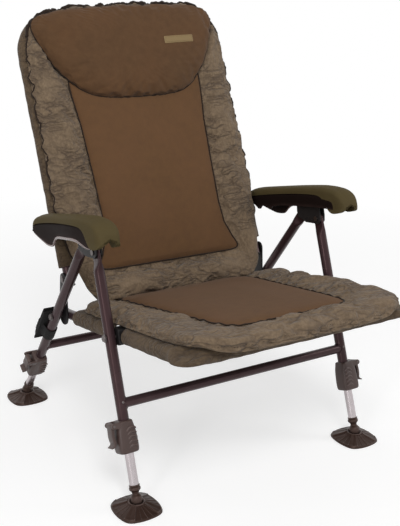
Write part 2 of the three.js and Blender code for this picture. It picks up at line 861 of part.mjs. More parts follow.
const armBoltHead = 2.2;
const armBoltHalf = bracket.gap + bracket.thick + seatGap;
function armBolt() {
  const shaft = rodOnX(legX - armBoltHalf, legX + armBoltHalf, legTop.boltRadius);
  const heads = [-1, 1].map((side) =>
    rodOnX(legX + side * armBoltHalf, legX + side * (armBoltHalf + armBoltHead), 2 * legTop.boltRadius),
  );
  return carved(shaft, heads);
}
placePair(frontLegs, 'arm_pivot_bolt', armBolt(), boltSteel);
const rivetHalf = bracket.gap - seatGap;
const legRivet = rodOnX(legX - rivetHalf, legX + rivetHalf, legTop.boltRadius);
placePair(rearLegs, 'rear_leg_rivet', legRivet, boltSteel);

// Slings: a sleeve gathered round each frame tube, with a sheet across
const sling = { sleeve: 17, sheet: 3, plateGap: 70, saddleGap: 22, backFoot: 26, pinHole: 9 };
const slingRear = seatTailReach - sling.plateGap;

const sleeveAlong = (path, normal) => pipeAlong(path, sling.sleeve, tubeRadius + seatGap, normal);
const sheetHeights = [sling.sleeve - sling.sheet, sling.sleeve];

function seatSling() {
  const side = [vec(frameHalfWidth, sling.saddleGap, 0), vec(frameHalfWidth, slingRear, 0)];
  const outline = seatPath(slingRear);
  const sheet = loft(sheetHeights.map((height) => outline.map((p) => vec(p.x, p.y, height))));
  const saddleRoom = boxFrom(
    vec(frameHalfWidth - saddle.inside - softGap, -saddle.halfLong - softGap, 0),
    vec(frameHalfWidth + sling.sleeve, saddle.halfLong + softGap, 2 * sling.sleeve),
  );
  return carved(
    sleeveAlong(seatPath(-sling.saddleGap), flatNormal),
    [...bothSides(sleeveAlong(side, flatNormal)), sheet],
    bothSides(saddleRoom),
  );
}

function backSling() {
  const outline = backPath(sling.backFoot);
  const sheet = loft(sheetHeights.map((height) => outline.map((p) => vec(p.x, -height, p.z))));
  const pinRoom = rodOnX(acrossFrame[0], frameOuterX + 2 * cutOverrun, sling.pinHole, 0, notchPin.rise);
  return carved(sleeveAlong(outline, backNormal), [sheet], bothSides(pinRoom));
}

place(seat, 'seat_sling', seatSling(), slingCloth);
place(back, 'back_sling', backSling(), slingCloth);

// Cushions: rings from the crown out to the edge and in again underneath.
// Each ring is a half width, two ends, and a height over the frame's plane.
const cushionSides = 36;
function cushionRing(halfX, low, high, power, heightAt) {
  return ringAtZ(0, halfX, (high - low) / 2, power, cushionSides, 0, (low + high) / 2).map((p) => {
    p.z = heightAt(p.x, p.y);
    return p;
  });
}

const rest = sling.sleeve + softGap;
const cushionTailGap = 62;
const seatPad = {
  half: legInnerX - cushionSideGap.seat,
  front: 296,
  tail: seatTailReach - cushionTailGap,
  thick: 31,
  droop: 16,
};
const tuckShare = 0.24;
const tuckFromShare = 0.62;
// Half width, front and tail as shares of the pad, then height as a share of its thickness
const seatPadShares = [
  [0.28, 0.35, 0.34, 0.52],
  [0.55, 0.64, 0.66, 0.5],
  [0.61, 0.7, 0.72, 0.44],
  [0.7, 0.78, 0.78, 0.82],
  [0.83, 0.88, 0.88, 1],
  [0.95, 0.965, 0.965, 0.78],
  [1, 1, 1, 0.36],
  [0.985, 0.99, 0.99, 0.03],
];

function seatCushion() {
  const { half, front, tail, thick, droop } = seatPad;
  const top = seatPadShares.map(([wide, ahead, behind, height]) =>
    cushionRing(half * wide, -front * ahead, tail * behind, 7, (x, y) => {
      const fall = tuckShare * max(0, y - tail * tuckFromShare);
      const drop = droop * THREE.MathUtils.smoothstep(-y, front * 0.92, front) * (1 - height);
      return max(rest - drop, rest + thick * height - fall - drop);
    }),
  );
  const underFront = seatFrontReach + sling.sleeve + softGap;
  return loft([...top, cushionRing(half * 0.9, -underFront, tail * 0.92, 7, () => rest)]);
}

const backPad = {
  half: legInnerX - cushionSideGap.back,
  lowEnd: -2,
  highEnd: 622,
  thick: 29,
  footBlend: 90,
};
const backPanelShare = 0.62;
// Half width, foot and head insets as shares of the half width, then height share
const backPadShares = [
  [0.3, 0.9, 0.9, 0.68],
  [0.56, 0.085, 0.45, 0.62],
  [0.61, 0.06, 0.4, 0.36],
  [0.7, 0.05, 0.3, 0.84],
  [0.83, 0.035, 0.18, 1],
  [0.95, 0.02, 0.06, 0.78],
  [1, 0, 0, 0.34],
  [0.985, 0.008, 0.01, 0.03],
];
const pillow = { half: legInnerX - cushionSideGap.pillow, lowEnd: 398, highEnd: 619, thick: 34, shelf: 11 };
const pillowShares = [[0.35, 1], [0.68, 0.9], [0.88, 0.62], [0.97, 0.32], [1, 0.14], [0.97, 0.02]];
const pillowRoomShare = 1.025;
const shoulderShare = 0.42;

// Cushion on the back, with its height turned to face forward
function onBack(rings) {
  return loft(rings.map((ring) => ring.map((p) => vec(p.x, -p.z, p.y))));
}

// Headrest outline: flat across the top, rounded below
function pillowRing(share, height) {
  const { half, lowEnd, highEnd } = pillow;
  const shoulder = highEnd - (highEnd - lowEnd) * shoulderShare;
  return Array.from({ length: cushionSides }, (_, i) => {
    const turn = (2 * PI * (i + 0.5)) / cushionSides;
    const [c, s] = [cos(turn), sin(turn)];
    const power = s > 0 ? 5 : 2.3;
    const rise = s > 0 ? highEnd - shoulder : shoulder - lowEnd;
    const x = half * share * sign(c) * abs(c) ** (2 / power);
    const y = shoulder + rise * share * sign(s) * abs(s) ** (2 / power);
    return vec(x, y, height);
  });
}

function backCushion() {
  const { half, lowEnd, highEnd, thick, footBlend } = backPad;
  const top = backPadShares.map(([wide, low, high, height]) =>
    cushionRing(half * wide, lowEnd + half * low, highEnd - half * high, 6, (x, y) => {
      const blend = THREE.MathUtils.smoothstep(y, lowEnd, lowEnd + footBlend);
      return rest + thick * min(height, backPanelShare + blend);
    }),
  );
  const under = cushionRing(half * 0.93, lowEnd + half * 0.03, highEnd - half * 0.04, 6, () => rest);
  const room = [rest + pillow.shelf, rest + 2 * thick].map((height) => pillowRing(pillowRoomShare, height));
  return carved(onBack([...top, under]), [], [onBack(room)]);
}

function headrest() {
  const base = rest + pillow.shelf + softGap;
  const top = pillowShares.map(([share, height]) => pillowRing(share, base + pillow.thick * height));
  return onBack([...top, pillowRing(0.9, base)]);
}

place(seat, 'seat_mattress', seatCushion(), brownFleece);
place(back, 'back_mattress', backCushion(), brownFleece);
place(back, 'headrest_pillow', headrest(), brownFleece);

// Roll of cloth that bridges the hinge between the two cushions
const roll = { half: legInnerX - cushionSideGap.roll, drop: 32, out: 33, tall: 30.2, deep: 23, sides: 12 };
const rollShares = [[-1, 0.5], [-0.97, 0.85], [-0.8, 1], [0, 1.04], [0.8, 1], [0.97, 0.85], [1, 0.5]];

function bridgeRoll() {
  return loft(
    rollShares.map(([along, size]) =>
      Array.from({ length: roll.sides }, (_, i) => {
        const turn = (2 * PI * i) / roll.sides;
        return vec(
          roll.half * along,
          -roll.out + roll.deep * size * cos(turn),
          -roll.drop + roll.tall * size * sin(turn),
        );
      }),
    ),
  );
}

place(back, 'mattress_bridge_roll', bridgeRoll(), mottledCloth);

// Transport strap, folded up behind the left rear leg and held by a band round the tube
const strap = { halfWide: 18, thick: 16, length: 104, bandLower: 11, folds: 6, groove: 2.6, outset: 4.6 };
const strapBand = { width: 34, wall: 1.6 };
const bandDrop = (seatHookDrop + rearBarDrop) / 2;
const strapDrop = bandDrop - strap.bandLower;

function transportStrap() {
  const near = tubeRadius + seatGap;
  const rings = [];
  const steps = 4 * strap.folds;
  for (let k = 0; k <= steps; k += 1) {
    const z = -strapDrop + strap.length * (0.5 - k / steps);
    const end = k === 0 || k === steps ? 2 : 1;
    const deep = strap.thick - (k % 4 === 2 ? strap.groove : 0) - strap.groove * (end - 1);
    const wide = strap.halfWide - (k % 4 === 2 ? strap.groove / 2 : 0);
    const corners = [[-1, 0], [1, 0], [1, 0.75], [0.7, 1], [-0.7, 1], [-1, 0.75]];
    rings.push(corners.map(([x, y]) => vec(wide * x - strap.outset, near + deep * y, z)));
  }
  const { width } = strapBand;
  const bandRun = [vec(0, 0, -bandDrop - width / 2), vec(0, 0, -bandDrop + width / 2)];
  const band = pipeAlong(bandRun, near + strapBand.wall, near, vec(0, 1, 0));
  const boreRun = [-1, 1].map((end) => vec(0, 0, end * strap.length - strapDrop));
  const bore = rodAlong(boreRun, near, vec(0, 1, 0));
  const whole = carved(loft(rings), [band], [bore]);
  whole.translate(-legX, 0, 0);
  return whole;
}

place(rearLegs, 'transport_strap', transportStrap(), webbing);

// The origin is on the ground, under the middle of the whole chair
chair.updateMatrixWorld(true);
const reachBox = new THREE.Box3().setFromObject(chair, true);
chair.position.set(0, -(reachBox.min.y + reachBox.max.y) / 2, -reachBox.min.z);

export default chair;
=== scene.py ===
import math

import bmesh
import bpy
import numpy as np
from mathutils import Matrix, Vector, noise


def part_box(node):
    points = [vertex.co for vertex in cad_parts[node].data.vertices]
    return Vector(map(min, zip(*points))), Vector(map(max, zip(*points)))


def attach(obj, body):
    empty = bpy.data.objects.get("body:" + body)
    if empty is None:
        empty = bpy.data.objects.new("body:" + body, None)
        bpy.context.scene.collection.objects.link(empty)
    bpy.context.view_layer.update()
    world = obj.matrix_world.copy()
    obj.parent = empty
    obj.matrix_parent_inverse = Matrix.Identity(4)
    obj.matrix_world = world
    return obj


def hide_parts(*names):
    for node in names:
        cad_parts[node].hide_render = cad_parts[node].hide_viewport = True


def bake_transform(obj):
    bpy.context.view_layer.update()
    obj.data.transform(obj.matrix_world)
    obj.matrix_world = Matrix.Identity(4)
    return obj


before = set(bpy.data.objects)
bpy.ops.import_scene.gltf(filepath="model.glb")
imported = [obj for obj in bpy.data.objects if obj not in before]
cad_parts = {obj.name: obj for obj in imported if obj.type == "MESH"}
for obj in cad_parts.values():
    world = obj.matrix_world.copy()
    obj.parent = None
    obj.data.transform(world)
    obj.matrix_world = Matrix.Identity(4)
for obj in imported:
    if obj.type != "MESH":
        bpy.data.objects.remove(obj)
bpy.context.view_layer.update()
scene = bpy.context.scene
mm = 0.001
sides = {"left": -1, "right": 1}  # as seen from in front
ends = ("front", "rear")


# ---- small mesh tools; shapes are in millimetres of a local place until they become pieces
def middleOf(node):
    low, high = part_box(node)
    return (low + high) / 2 / mm


def placeAt(y, z, tilt):
    turn = math.radians(tilt)
    return {
        "origin": np.array([0.0, y, z]),
        "back": np.array([0.0, math.cos(turn), math.sin(turn)]),
        "up": np.array([0.0, -math.sin(turn), math.cos(turn)]),
    }


def placeOn(node, tilt, height=None):
    centre = middleOf(node)
    return placeAt(centre.y, centre.z if height is None else height, tilt)


lean = {"frontLeg": -20, "rearLeg": 36.8, "seat": -9.25, "back": -24.4, "arm": -12.5}
places = {
    "frontLeg": placeOn("arm_pivot_bolt_left", lean["frontLeg"]),
    "rearLeg": placeOn("rear_leg_rivet_left", lean["rearLeg"]),
    "seat": placeOn("seat_pivot_bolt_left", lean["seat"]),
    "back": placeOn("back_hinge_bolt_left", lean["back"]),
    "arm": placeOn("arm_pivot_bolt_left", lean["arm"]),
    "frontFoot": placeOn("front_mud_foot_left", 0, 22),
    "rearFoot": placeOn("rear_mud_foot_left", 0, 22),
}


# how far a node's middle lies back and up in a place
def localMiddle(place, node):
    offset = np.array(middleOf(node)) - place["origin"]
    return float(offset @ place["back"]), float(offset @ place["up"])


def toRow(place, points):
    p = np.asarray(points, float).reshape(-1, 3)
    moved = place["origin"] + np.outer(p[:, 0], [1, 0, 0]) + np.outer(p[:, 1], place["back"])
    return (moved + np.outer(p[:, 2], place["up"])) * mm


def emptyShape():
    return {"points": [], "faces": [], "finish": []}


def shifted(shape, x=0.0, y=0.0, z=0.0):
    shape["points"] = [(p[0] + x, p[1] + y, p[2] + z) for p in shape["points"]]
    return shape


def addRings(shape, rings, finish=0, capFirst=True, capLast=True, closed=True, finishes=None, strip=False):
    start, count = len(shape["points"]), len(rings[0])
    for ring in rings:
        shape["points"].extend([tuple(p) for p in ring])
    for k in range(len(rings) - 1):
        row = start + k * count
        for i in range(count if closed else count - 1):
            j = (i + 1) % count
            shape["faces"].append((row + i, row + j, row + count + j, row + count + i))
            shape["finish"].append(finishes[k] if finishes else finish)
    lastStart = start + (len(rings) - 1) * count
    for ring, first, wanted, mark in ((rings[0], start, capFirst, 0), (rings[-1], lastStart, capLast, -1)):
        if not wanted:
            continue
        capFinish = finishes[mark] if finishes else finish
        if strip:  # quads straight across, where a fan would be slow to subdivide
            for i in range(count // 2 - 1):
                shape["faces"].append((first + i, first + i + 1, first + count - 2 - i,
                                       first + count - 1 - i))
                shape["finish"].append(capFinish)
            continue
        centre = len(shape["points"])
        shape["points"].append(tuple(np.mean(np.asarray(ring, float), axis=0)))
        for i in range(count):
            shape["faces"].append((first + i, first + (i + 1) % count, centre))
            shape["finish"].append(capFinish)
    return shape


def addTube(shape, path, radius, normal=None, count=20, finish=0, caps=True, loop=False):
    path = np.asarray(path, float)
    rings = []
    side = None
    for k in range(len(path)):
        if loop:
            ahead = path[(k + 1) % len(path)] - path[k - 1]
        else:
            ahead = path[min(k + 1, len(path) - 1)] - path[max(k - 1, 0)]
        ahead = ahead / np.linalg.norm(ahead)
        if normal is not None:
            across = np.cross(ahead, normal)
        else:
            guess = side if side is not None else np.array([0.31, 0.52, 0.79])
            across = guess - ahead * (guess @ ahead)
        across = across / np.linalg.norm(across)
        side = across
        other = np.cross(ahead, across)
        thick = radius[k] if np.ndim(radius) else radius
        turn = 2 * np.pi * np.arange(count) / count
        rings.append(path[k] + thick * (np.outer(np.cos(turn), across) + np.outer(np.sin(turn), other)))
    if loop:
        rings.append(rings[0])
    return addRings(shape, rings, finish, caps and not loop, caps and not loop)


def addLathe(shape, profile, centre=(0, 0, 0), count=48, axis="z", finish=0):
    turn = 2 * np.pi * np.arange(count) / count
    rings = []
    for radius, along in profile:
        flat = np.stack([radius * np.cos(turn), radius * np.sin(turn), np.full(count, along)], 1)
        if axis == "x":
            flat = flat[:, [2, 0, 1]]
        rings.append(flat + np.array(centre, float))
    return addRings(shape, rings, finish)


def roundedRing(z, halfX, halfY, power=2.0, count=48, x=0.0, y=0.0):
    turn = 2 * np.pi * (np.arange(count) + 0.5) / count
    c, s = np.cos(turn), np.sin(turn)
    return np.stack([
        x + halfX * np.sign(c) * np.abs(c) ** (2 / power),
        y + halfY * np.sign(s) * np.abs(s) ** (2 / power),
        np.full(count, float(z)),
    ], 1)


# smooth rows through a table of control rows
def easeRows(rows, perSpan):
    table = np.asarray(rows, float)
    out = []
    for k in range(len(table) - 1):
        before, after = table[max(k - 1, 0)], table[min(k + 2, len(table) - 1)]
        a, b = table[k], table[k + 1]
        startSlope, endSlope = (b - before) / 2, (after - a) / 2
        steps = perSpan[k] if np.ndim(perSpan) else perSpan
        for i in range(steps):
            t = i / steps
            out.append(
                (2 * t**3 - 3 * t**2 + 1) * a + (t**3 - 2 * t**2 + t) * startSlope
                + (3 * t**2 - 2 * t**3) * b + (t**3 - t**2) * endSlope
            )
    out.append(table[-1])
    return np.array(out)


def smoothStep(value, low, high):
    t = np.clip((value - low) / (high - low), 0, 1)
    return t * t * (3 - 2 * t)


def roundedPath(corners, radius, steps=12):
    corners = [np.array(c, float) for c in corners]
    path = [corners[0]]
    for before, corner, after in zip(corners, corners[1:], corners[2:]):
        back, ahead = before - corner, after - corner
        back, ahead = back / np.linalg.norm(back), ahead / np.linalg.norm(ahead)
        half = math.acos(np.clip(back @ ahead, -1, 1)) / 2
        toCentre = (back + ahead) / np.linalg.norm(back + ahead)
        centre = corner + toCentre * radius / math.sin(half)
        first = corner + back * radius / math.tan(half) - centre
        axis = np.cross(back, ahead) / np.linalg.norm(np.cross(back, ahead))
        for k in range(steps + 1):
            turn = -(math.pi - 2 * half) * k / steps
            path.append(centre + first * math.cos(turn) + np.cross(axis, first) * math.sin(turn))
    path.append(corners[-1])
    return path


def makePiece(name, shape, place, finishes, sharp=38, mirror=1, bevel=0, subdivide=0):
    points = np.array(shape["points"], float)
    points[:, 0] *= mirror
    mesh = bpy.data.meshes.new(name)
    mesh.from_pydata(toRow(place, points).tolist(), [], shape["faces"])
    for material in finishes:
        mesh.materials.append(material)
    mesh.polygons.foreach_set("material_index", shape["finish"])
    piece = bpy.data.objects.new(name, mesh)
    scene.collection.objects.link(piece)
    tidyMesh(piece)
    if bevel:
        edge = piece.modifiers.new("softEdge", "BEVEL")
        edge.width, edge.segments = bevel * mm, 3
        edge.limit_method, edge.angle_limit = "ANGLE", math.radians(30)
    if subdivide:
        finer = piece.modifiers.new("finer", "SUBSURF")
        finer.levels = finer.render_levels = subdivide
    if bevel or subdivide:
        applyModifiers(piece)
    smoothShade(piece, sharp)
    return piece


def tidyMesh(piece):
    work = bmesh.new()
    work.from_mesh(piece.data)
    bmesh.ops.remove_doubles(work, verts=work.verts, dist=0.00002)
    bmesh.ops.recalc_face_normals(work, faces=work.faces)
    work.to_mesh(piece.data)
    work.free()


def smoothShade(piece, sharp=38):
    piece.data.polygons.foreach_set("use_smooth", [True] * len(piece.data.polygons))
    piece.data.set_sharp_from_angle(angle=math.radians(sharp))
    piece.data.update()


def applyModifiers(piece):
    graph = bpy.context.evaluated_depsgraph_get()
    graph.update()
    done = bpy.data.meshes.new_from_object(piece.evaluated_get(graph))
    old = piece.data
    piece.modifiers.clear()
    piece.data = done
    bpy.data.meshes.remove(old)


def paintNode(node, material):
    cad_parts[node].data.materials.clear()
    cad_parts[node].data.materials.append(material)


def joinPieces(main, others):
    bpy.ops.object.select_all(action="DESELECT")
    for piece in [main, *others]:
        piece.select_set(True)
    bpy.context.view_layer.objects.active = main
    bpy.ops.object.join()
    return main


# ---- finishes
def shade(hexColour):
    parts = [int(hexColour[i:i + 2], 16) / 255 for i in (0, 2, 4)]
    return tuple(p / 12.92 if p <= 0.04045 else ((p + 0.055) / 1.055) ** 2.4 for p in parts) + (1,)


def newGroup(name, ins, outs):
    group = bpy.data.node_groups.new(name, "ShaderNodeTree")
    for label, kind, value in ins:
        socket = group.interface.new_socket(label, in_out="INPUT", socket_type=kind)
        if value is not None:
            socket.default_value = value
    for label, kind in outs:
        group.interface.new_socket(label, in_out="OUTPUT", socket_type=kind)
    return group, group.nodes.new("NodeGroupInput"), group.nodes.new("NodeGroupOutput")


def addNode(tree, kind, **values):
    node = tree.nodes.new(kind)
    for key, value in values.items():
        if hasattr(node, key) and key not in node.inputs:
            setattr(node, key, value)
        else:
            node.inputs[key].default_value = value
    return node


def mathNode(tree, operation, first, second=None, clamp=False):
    node = tree.nodes.new("ShaderNodeMath")
    node.operation, node.use_clamp = operation, clamp
    for slot, value in ((0, first), (1, second)):
        if value is None:
            continue
        if isinstance(value, (int, float)):
            node.inputs[slot].default_value = value
        else:
            tree.links.new(value, node.inputs[slot])
    return node.outputs[0]


def mixColour(tree, factor, first, second, blend="MIX"):
    node = tree.nodes.new("ShaderNodeMix")
    node.data_type, node.blend_type = "RGBA", blend
    for slot, value in ((node.inputs[0], factor), (node.inputs[6], first), (node.inputs[7], second)):
        if isinstance(value, (int, float, tuple)):
            slot.default_value = value
        else:
            tree.links.new(value, slot)
    return node.outputs[2]


def noiseNode(tree, vector, scale, detail=3.0, rough=0.5, stretch=None):
    if stretch:
        mapping = addNode(tree, "ShaderNodeMapping")
        mapping.inputs["Scale"].default_value = stretch
        tree.links.new(vector, mapping.inputs["Vector"])
        vector = mapping.outputs[0]
    node = tree.nodes.new("ShaderNodeTexNoise")
    node.inputs["Scale"].default_value = scale
    node.inputs["Detail"].default_value = detail
    node.inputs["Roughness"].default_value = rough
    tree.links.new(vector, node.inputs["Vector"])
    return node.outputs[0]


# woven threads, read along X and along a line that runs up the seat and the back alike
def weaveGroup():
    group, into, out = newGroup(
        "wovenThreads",
        [("Vector", "NodeSocketVector", None), ("Threads per metre", "NodeSocketFloat", 900.0),
         ("Slub", "NodeSocketFloat", 0.3)],
        [("Height", "NodeSocketFloat"), ("Thread mask", "NodeSocketFloat")],
    )
    split = addNode(group, "ShaderNodeSeparateXYZ")
    group.links.new(into.outputs["Vector"], split.inputs[0])
    wobble = noiseNode(group, into.outputs["Vector"], 60.0, 2.0)
    upward = mathNode(group, "ADD", mathNode(group, "MULTIPLY", split.outputs[1], 0.8), split.outputs[2])
    waves = []
    for line in (split.outputs[0], upward):
        bent = mathNode(group, "ADD", line, mathNode(group, "MULTIPLY", wobble, 0.002))
        count = mathNode(group, "MULTIPLY", into.outputs["Threads per metre"], 6.2832)
        waves.append(mathNode(group, "SINE", mathNode(group, "MULTIPLY", bent, count)))
    crossing = mathNode(group, "MULTIPLY", waves[0], waves[1])
    slub = noiseNode(group, into.outputs["Vector"], 140.0, 2.0, stretch=(6, 1, 1))
    mask = mathNode(group, "MULTIPLY", slub, into.outputs["Slub"])
    group.links.new(mathNode(group, "ADD", mathNode(group, "MULTIPLY", crossing, 0.5), mask),
                    out.inputs["Height"])
    group.links.new(slub, out.inputs["Thread mask"])
    return group


# pale wear where a surface turns sharply, broken up by noise
def wearGroup():
    group, into, out = newGroup(
        "edgeWear",
        [("Vector", "NodeSocketVector", None), ("Spread", "NodeSocketFloat", 0.5),
         ("Patchiness", "NodeSocketFloat", 30.0)],
        [("Mask", "NodeSocketFloat")],
    )
    geometry = addNode(group, "ShaderNodeNewGeometry")
    ramp = addNode(group, "ShaderNodeMapRange")
    ramp.inputs["From Min"].default_value, ramp.inputs["From Max"].default_value = 0.52, 0.62
    group.links.new(geometry.outputs["Pointiness"], ramp.inputs["Value"])
    patch = group.nodes.new("ShaderNodeTexNoise")
    group.links.new(into.outputs["Vector"], patch.inputs["Vector"])
    group.links.new(into.outputs["Patchiness"], patch.inputs["Scale"])
    broken = mathNode(group, "MULTIPLY", ramp.outputs[0], patch.outputs[0])
    group.links.new(mathNode(group, "MULTIPLY", broken, into.outputs["Spread"], True), out.inputs["Mask"])
    return group


# small pits and bumps of moulded plastic or powder paint
def grainGroup():
    group, into, out = newGroup(
        "mouldedGrain",
        [("Vector", "NodeSocketVector", None), ("Grain size", "NodeSocketFloat", 700.0)],
        [("Height", "NodeSocketFloat"), ("Cloud", "NodeSocketFloat")],
    )
    cell = addNode(group, "ShaderNodeTexVoronoi")
    group.links.new(into.outputs["Vector"], cell.inputs["Vector"])
    group.links.new(into.outputs["Grain size"], cell.inputs["Scale"])
    cloud = noiseNode(group, into.outputs["Vector"], 18.0, 4.0)
    fine = noiseNode(group, into.outputs["Vector"], 900.0, 2.0)
    group.links.new(mathNode(group, "ADD", cell.outputs["Distance"], fine), out.inputs["Height"])
    group.links.new(cloud, out.inputs["Cloud"])
    return group


# thin crushed folds that wander, fork and fade, as a height from 0 to 1
def foldGroup():
    group, into, out = newGroup(
        "crushedFolds",
        [("Vector", "NodeSocketVector", None), ("Fold size", "NodeSocketFloat", 20.0),
         ("Bend", "NodeSocketFloat", 0.02)],
        [("Height", "NodeSocketFloat")],
    )
    bent = group.nodes.new("ShaderNodeTexNoise")
    bent.inputs["Scale"].default_value = 14.0
    group.links.new(into.outputs["Vector"], bent.inputs["Vector"])
    spread = addNode(group, "ShaderNodeVectorMath", operation="SCALE")
    group.links.new(bent.outputs["Color"], spread.inputs[0])
    group.links.new(into.outputs["Bend"], spread.inputs["Scale"])
    moved = addNode(group, "ShaderNodeVectorMath", operation="ADD")
    group.links.new(into.outputs["Vector"], moved.inputs[0])
    group.links.new(spread.outputs[0], moved.inputs[1])
    lines = []
    for turn, much in ((0.6, 1.0), (-0.9, 0.8)):
        place = addNode(group, "ShaderNodeMapping")
        place.inputs["Rotation"].default_value = (turn, turn * 0.7, turn)
        place.inputs["Scale"].default_value = (0.45, 1.0, 1.3)
        group.links.new(moved.outputs[0], place.inputs["Vector"])
        grid = group.nodes.new("ShaderNodeTexNoise")
        grid.inputs["Detail"].default_value, grid.inputs["Roughness"].default_value = 2.0, 0.45
        group.links.new(place.outputs[0], grid.inputs["Vector"])
        group.links.new(into.outputs["Fold size"], grid.inputs["Scale"])
        ridge = mathNode(group, "ABSOLUTE", mathNode(group, "SUBTRACT", grid.outputs[0], 0.5))
        lines.append(mathNode(group, "SUBTRACT", 1.0, mathNode(group, "MULTIPLY", ridge, 11.0 * much), True))
    where = noiseNode(group, into.outputs["Vector"], 12.0, 2.0)
    patch = mathNode(group, "MULTIPLY", mathNode(group, "SUBTRACT", where, 0.3, True), 4.0, True)
    both = mathNode(group, "MAXIMUM", lines[0], mathNode(group, "MULTIPLY", lines[1], 0.8))
    group.links.new(mathNode(group, "MULTIPLY", mathNode(group, "POWER", both, 1.6), patch),
                    out.inputs["Height"])
    return group


weaveTree, wearTree, grainTree, foldTree = weaveGroup(), wearGroup(), grainGroup(), foldGroup()


def startMaterial(name, metallic=0.0, roughness=0.5, **shader):
    material = bpy.data.materials.new(name)
    material.use_nodes = True
    tree = material.node_tree
    body = tree.nodes["Principled BSDF"]
    body.inputs["Metallic"].default_value = metallic
    body.inputs["Roughness"].default_value = roughness
    for key, value in shader.items():
        body.inputs[key.replace("_", " ")].default_value = value
    coords = tree.nodes.new("ShaderNodeTexCoord")
    return material, tree, body, coords.outputs["Object"]


def placeGroup(tree, group, vector, **values):
    node = tree.nodes.new("ShaderNodeGroup")
    node.node_tree = group
    tree.links.new(vector, node.inputs["Vector"])
    for key, value in values.items():
        node.inputs[key.replace("_", " ")].default_value = value
    return node


def bumpOf(tree, body, height, strength, distance):
    bump = addNode(tree, "ShaderNodeBump")
    bump.inputs["Strength"].default_value, bump.inputs["Distance"].default_value = strength, distance
    tree.links.new(height, bump.inputs["Height"])
    tree.links.new(bump.outputs[0], body.inputs["Normal"])


def plasticFinish(name, look):
    material, tree, body, vector = startMaterial(name, look.get("metal", 0.0), look["rough"])
    body.inputs["Specular IOR Level"].default_value = look.get("gloss", 0.5)
    body.inputs["Specular Tint"].default_value = shade(look.get("tint", "ffffff"))
    body.inputs["Coat Weight"].default_value = look.get("coat", 0.0)
    body.inputs["Coat Roughness"].default_value = 0.25
    grain = placeGroup(tree, grainTree, vector, Grain_size=look["grain"])
    wear = placeGroup(tree, wearTree, vector, Spread=look["wear"])
    base = mixColour(tree, grain.outputs["Cloud"], shade(look["colour"]), shade(look["cloud"]))
    worn = mixColour(tree, wear.outputs["Mask"], base, shade(look["edge"]))
    tree.links.new(worn, body.inputs["Base Color"])
    low, high = look["rough"] - 0.07, look["rough"] + 0.1
    varied = mathNode(tree, "MULTIPLY", grain.outputs["Cloud"], high - low)
    tree.links.new(mathNode(tree, "ADD", varied, low), body.inputs["Roughness"])
    bumpOf(tree, body, grain.outputs["Height"], look["bump"], 0.0004)
    return material


def clothFinish(name, look):
    material, tree, body, vector = startMaterial(name, 0.0, look["rough"])
    body.inputs["Sheen Weight"].default_value = look["sheen"]
    body.inputs["Sheen Roughness"].default_value = 0.5
    body.inputs["Specular IOR Level"].default_value = 0.2
    weave = placeGroup(tree, weaveTree, vector, Threads_per_metre=look["threads"], Slub=look["slub"])
    mottle = noiseNode(tree, vector, look["mottle"], 6.0, 0.65, look.get("stretch"))
    spread = addNode(tree, "ShaderNodeMapRange")
    spread.inputs["From Min"].default_value, spread.inputs["From Max"].default_value = look["cut"]
    tree.links.new(mottle, spread.inputs["Value"])
    cloud = noiseNode(tree, vector, look["clouds"], 3.0)
    base = mixColour(tree, spread.outputs[0], shade(look["colour"]), shade(look["second"]))
    drift = mathNode(tree, "MULTIPLY", mathNode(tree, "SUBTRACT", cloud, 0.35, True), look["drift"], True)
    aged = mixColour(tree, drift, base, shade(look["third"]))
    thread = mixColour(tree, mathNode(tree, "MULTIPLY", weave.outputs["Thread mask"], look["heather"]), aged,
                       shade(look["thread"]))
    fuzz = noiseNode(tree, vector, look["nap"], 3.0, 0.6)
    woven = mathNode(tree, "MULTIPLY", weave.outputs["Height"], look["weaveShare"])
    height = mathNode(tree, "ADD", woven, fuzz)
    if "folds" in look:
        size, paintedCreaseShade, tall = look["folds"]
        fold = placeGroup(tree, foldTree, vector, Fold_size=size)
        # the fold lines are also darkened toward the thread colour: painted shade in the creases
        thread = mixColour(tree, mathNode(tree, "MULTIPLY", fold.outputs["Height"], paintedCreaseShade, True), thread,
                           shade(look["thread"]))
        height = mathNode(tree, "SUBTRACT", height, mathNode(tree, "MULTIPLY", fold.outputs["Height"], tall))
    tree.links.new(thread, body.inputs["Base Color"])
    bumpOf(tree, body, height, look["bump"], look["depth"])
    return material


def steelFinish(name, look):
    material, tree, body, vector = startMaterial(name, 1.0, look["rough"])
    streak = noiseNode(tree, vector, 60.0, 5.0, 0.6, look["stretch"])
    base = mixColour(tree, streak, shade(look["colour"]), shade(look["second"]))
    tree.links.new(base, body.inputs["Base Color"])
    varied = mathNode(tree, "MULTIPLY", streak, 0.16)
    tree.links.new(mathNode(tree, "ADD", varied, look["rough"] - 0.06), body.inputs["Roughness"])
    bumpOf(tree, body, streak, look["bump"], 0.0003)
    return material


